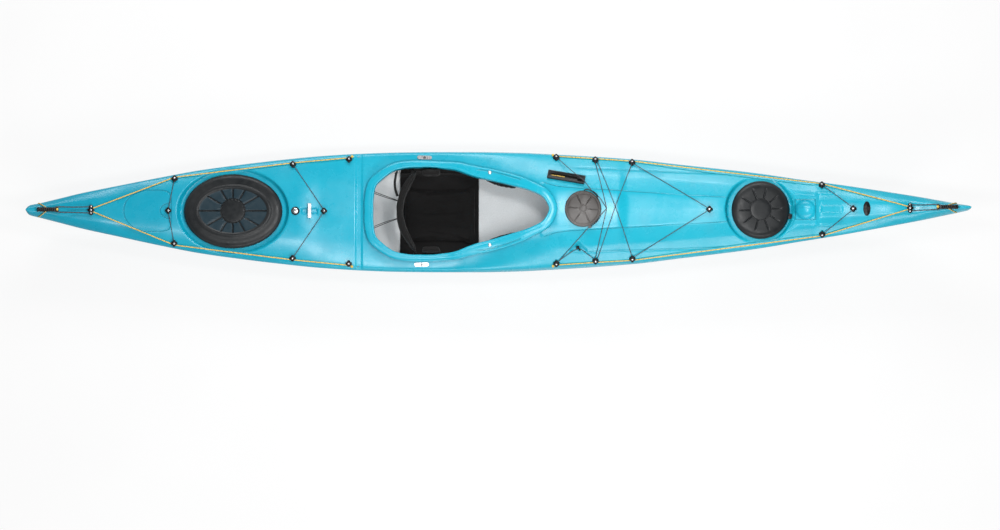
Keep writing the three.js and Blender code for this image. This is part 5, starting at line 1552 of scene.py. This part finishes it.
def make_seat():
    """Makes the seat, its pads, the backband with its elastics and strap, and the thigh pads"""
    softened("seat_pan", "seat_shell", "cover", width=0.0015)
    skirt = bmesh.new()
    for side in (1, -1):
        rows = []
        for k in range(49):
            x = mix(SKIRT_EDGE[0][0], SKIRT_EDGE[-1][0], k / 48)
            low = looked_up(SKIRT_EDGE, x) - 0.003
            wall = min((p for p in hull_line(x) if p[0] > 0), key=lambda p: abs(p[1] - low - 0.02))[0]
            far, high = min(wall - 0.010, 0.256), low + 0.022
            corners = ((0.2095, low), (far, high), (far, high - 0.003), (0.2095, low - 0.003))
            rows.append([skirt.verts.new((x, side * y, z)) for y, z in corners])
        skin(skirt, rows)
    place_piece(closed_up(skirt), "seat_skirt", "cover", sharp=40)

    def seat_crease(at, off):
        fan = at.y / (0.05 + 0.30 * (at.x + 0.75))
        folds = sin(fan * 21) * smooth((at.x + 0.44) / 0.1) * smooth((-0.13 - at.x) / 0.08)
        return -0.0052 * max(0, folds) ** 3 * (1 if off.z > 0 else 0) + bumps_of(at, 11, 0.0045)

    cushion("seat_pad", "seat_cushion", "boat", 0.006, 0.008, seat_crease)

    def back_crease(at, off):
        stitch = abs(at.z - 0.245) < 0.0035
        fold = sin(at.y * 85 + at.z * 20) * 0.0007
        return (-0.0022 if stitch else 0) + fold + bumps_of(at, 14, 0.0030)

    # The backband takes the darker copy of the cover: painted shade
    cushion("backband", "backband_cover", "backrest", 0.005, 0.005, back_crease, "painted_shade_cover")
    for side, sign in (("port", 1), ("starboard", -1)):
        cushion(
            f"hip_pad_{side}", f"hip_cushion_{side}", "boat", 0.005, 0.004,
            lambda at, off: bumps_of(at, 20, 0.0026),
        )
        cushion(
            f"thigh_brace_{side}", f"thigh_pad_{side}", "boat", 0.005, 0.003,
            lambda at, off: bumps_of(at, 18, 0.0024) + 0.006 * smooth(-sign * off.y / 0.03),
        )
        stitch_line(side)
    bands = bmesh.new()
    for wall_y, band_y in ((0.096, 0.046), (-0.079, -0.039)):
        for gap in (0.0042, -0.0042):
            half_way = mix(wall_y, band_y, 0.5) + gap * 0.8
            way = (
                (-0.618, wall_y + gap, 0.236), (-0.56, half_way, 0.268),
                (-0.492, band_y + gap * 0.3, 0.292),
            )
            add_to(bands, cord(curve_points(way, 28), 0.0017))
    piece = place_piece(bands, "backband_elastics", "plastic", body=None)
    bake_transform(piece)
    tail = (
        (-0.500, 0.070, 0.296), (-0.511, 0.105, 0.303), (-0.514, 0.140, 0.300), (-0.510, 0.170, 0.291),
        (-0.507, 0.190, 0.276), (-0.509, 0.196, 0.262),
    )
    strap = ribbon(curve_points(tail, 40), Vector((0.55, 0.1, 0.85)), 0.020, 0.0022)
    piece = place_piece(strap, "backband_strap", "cover", body=None)
    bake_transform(piece)
    bolts = bmesh.new()
    for x, y in THIGH_BOLTS:
        high = along(COAMING_TOP_SHARES, x / HALF_LENGTH) * hull_sizes().height
        spot = Matrix.Translation((x, y, high - 0.0005))
        add_to(bolts, screw_head(0.0085, 0.0024), spot)
    place_piece(bolts, "thigh_bolts", "steel")


def stitch_line(side):
    """Piping along the upper edge of a hip pad"""
    low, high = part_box(f"hip_pad_{side}")
    middle, top = mix(low[1], high[1], 0.5), high[2] - 0.0015
    edge = [
        (mix(low[0], high[0], t), middle, top + 0.004 * sin(pi * t))
        for t in (0.06, 0.2, 0.35, 0.5, 0.65, 0.8, 0.94)
    ]
    place_piece(cord(curve_points(edge, 40), 0.0022), f"hip_piping_{side}", "cover")


def make_inside():
    """Dresses what stands inside the hull: bulkheads, the day pod and the foot rests"""
    for node in ("rear_bulkhead", "front_bulkhead"):
        dress(node, "foam")
    dress("day_pod", "plastic")
    for side in ("port", "starboard"):
        softened(f"foot_rail_{side}", f"pedal_rail_{side}", "plastic")
        softened(f"foot_pedal_{side}", f"pedal_{side}", "plastic", f"{side}_pedal", 0.002)


CAMERA = dict(target=(0.013, -0.247, 0.0), far=24.0, elevation=84.5, lens=170.6)
LIGHTS = (
    ("port_key", (-0.2, 4.6, 3.5), (5.0, 1.6), 200.0),
    ("starboard_fill", (0.9, -4.6, 3.5), (5.0, 1.4), 140.0),
    ("overhead_strip", (0.0, -1.0, 4.4), (3.4, 0.4), 85.0),
    ("plateau_gloss", (0.55, 0.43, 4.4), (0.7, 0.45), 52.0),
)


def make_studio():
    """Makes the pale floor, the soft lights and the camera of the photo's top view"""
    scene = bpy.context.scene
    pale = white_floor()
    plane, wall = bmesh.new(), bmesh.new()
    bmesh.ops.create_circle(plane, cap_ends=True, segments=96, radius=60)
    bmesh.ops.translate(plane, vec=(0, 0, -0.0015), verts=plane.verts)
    bmesh.ops.create_cone(wall, segments=96, radius1=60, radius2=60, depth=80)
    shown = []
    for name, shape in (("studio_floor", plane), ("studio_backdrop", wall)):
        shown.append(linked(shape, name))
        shown[-1].data.materials.append(pale)
    for name, at, size, power in LIGHTS:
        lamp = bpy.data.lights.new(name, "AREA")
        lamp.shape, lamp.size, lamp.size_y, lamp.energy = "RECTANGLE", size[0], size[1], power
        lit = bpy.data.objects.new(name, lamp)
        lit.location = at
        lit.rotation_euler = (-Vector(at)).to_track_quat("-Z", "Y").to_euler()
        scene.collection.objects.link(lit)
        shown.append(lit)
    world = bpy.data.worlds.new("studio_air")
    world.use_nodes = True
    back = world.node_tree.nodes["Background"]
    back.inputs["Color"].default_value = (0.22, 0.222, 0.226, 1)
    back.inputs["Strength"].default_value = 1.0
    scene.world = world
    lens = bpy.data.cameras.new("photo_view")
    lens.lens, lens.clip_end = CAMERA["lens"], 200
    camera = bpy.data.objects.new("photo_view", lens)
    tilt = radians(CAMERA["elevation"])
    back_way = Vector((0, -cos(tilt), sin(tilt)))
    camera.location = Vector(CAMERA["target"]) + back_way * CAMERA["far"]
    camera.rotation_euler = back_way.to_track_quat("Z", "Y").to_euler()
    scene.collection.objects.link(camera)
    scene.camera = camera
    scene.view_settings.view_transform = "Standard"


class KAYAK_OT_shell(bpy.types.Operator):
    """Makes the moulded shell: the hull, the deck with its recesses, and the bare inside"""

    bl_idname = "kayak.shell"
    bl_label = "Shell"

    def execute(self, context):
        make_shell()
        return {"FINISHED"}


class KAYAK_OT_coaming(bpy.types.Operator):
    """Makes the coaming: a rolled rim round the cockpit with its skirt down to the deck"""

    bl_idname = "kayak.coaming"
    bl_label = "Coaming"

    def execute(self, context):
        make_coaming()
        return {"FINISHED"}


class KAYAK_OT_lids(bpy.types.Operator):
    """Makes the three rubber hatch lids"""

    bl_idname = "kayak.lids"
    bl_label = "Hatch lids"

    def execute(self, context):
        make_lids()
        return {"FINISHED"}


class KAYAK_OT_deck_gear(bpy.types.Operator):
    """Makes the deck eyes with their screws, the deck lines, elastics, toggles and the lock bar"""

    bl_idname = "kayak.deck_gear"
    bl_label = "Deck gear"

    def execute(self, context):
        make_deck_gear()
        return {"FINISHED"}


class KAYAK_OT_skeg(bpy.types.Operator):
    """Makes the skeg, its box, pin and cable, and the slider that works it"""

    bl_idname = "kayak.skeg"
    bl_label = "Skeg"

    def execute(self, context):
        make_skeg()
        return {"FINISHED"}


class KAYAK_OT_seat(bpy.types.Operator):
    """Makes the seat, its pads, the backband with its elastics and strap, and the thigh pads"""

    bl_idname = "kayak.seat"
    bl_label = "Seat and pads"

    def execute(self, context):
        make_seat()
        return {"FINISHED"}


class KAYAK_OT_inside(bpy.types.Operator):
    """Dresses what stands inside the hull: bulkheads, the day pod and the foot rests"""

    bl_idname = "kayak.inside"
    bl_label = "Inside"

    def execute(self, context):
        make_inside()
        return {"FINISHED"}


class KAYAK_OT_studio(bpy.types.Operator):
    """Makes the pale floor, the soft lights and the camera of the photo's top view"""

    bl_idname = "kayak.studio"
    bl_label = "Studio"

    def execute(self, context):
        make_studio()
        return {"FINISHED"}


OPERATORS = (
    KAYAK_OT_shell, KAYAK_OT_coaming, KAYAK_OT_lids, KAYAK_OT_deck_gear, KAYAK_OT_skeg, KAYAK_OT_inside,
    KAYAK_OT_seat, KAYAK_OT_studio,
)


class KAYAK_PT_panel(bpy.types.Panel):
    """Sizes, colours and steps of the kayak"""

    bl_idname = "KAYAK_PT_panel"
    bl_label = "Sea kayak"
    bl_space_type = "VIEW_3D"
    bl_region_type = "UI"
    bl_category = "Kayak"

    def draw(self, context):
        scene = context.scene
        for group in (scene.kayak_hull, scene.kayak_cockpit, scene.kayak_gear, scene.kayak_colours):
            box = self.layout.box()
            for key in group.bl_rna.properties.keys():
                if key not in ("rna_type", "name"):
                    box.prop(group, key)
        for operator in OPERATORS:
            self.layout.operator(operator.bl_idname)


GROUPS = {
    "kayak_hull": HullSizes, "kayak_cockpit": CockpitSizes, "kayak_gear": GearSizes,
    "kayak_colours": KayakColours, "kayak_rear_hatch": HatchSizes, "kayak_front_hatch": HatchSizes,
    "kayak_day_hatch": HatchSizes,
}
HATCHES = {
    "kayak_rear_hatch": (-1.326, 0.247, 0.1865, 0.028, 0.235),
    "kayak_front_hatch": (1.317, 0.145, 0.145, 0.023, 0.296),
    "kayak_day_hatch": (DAY_LID_X, 0.091, 0.091, 0.0, 0.36),
}


def register():
    for group in dict.fromkeys(GROUPS.values()):
        bpy.utils.register_class(group)
    for operator in OPERATORS:
        bpy.utils.register_class(operator)
    bpy.utils.register_class(KAYAK_PT_panel)
    for key, group in GROUPS.items():
        setattr(bpy.types.Scene, key, bpy.props.PointerProperty(type=group))


def unregister():
    for key in GROUPS:
        delattr(bpy.types.Scene, key)
    bpy.utils.unregister_class(KAYAK_PT_panel)
    for operator in reversed(OPERATORS):
        bpy.utils.unregister_class(operator)
    for group in dict.fromkeys(GROUPS.values()):
        bpy.utils.unregister_class(group)


def main():
    register()
    for key, values in HATCHES.items():
        hatch = getattr(bpy.context.scene, key)
        hatch.x, hatch.half_long, hatch.half_wide, hatch.margin, hatch.floor = values
    for operator in OPERATORS:
        getattr(bpy.ops.kayak, operator.bl_idname.split(".")[1])()


if __name__ == "__main__":
    main()
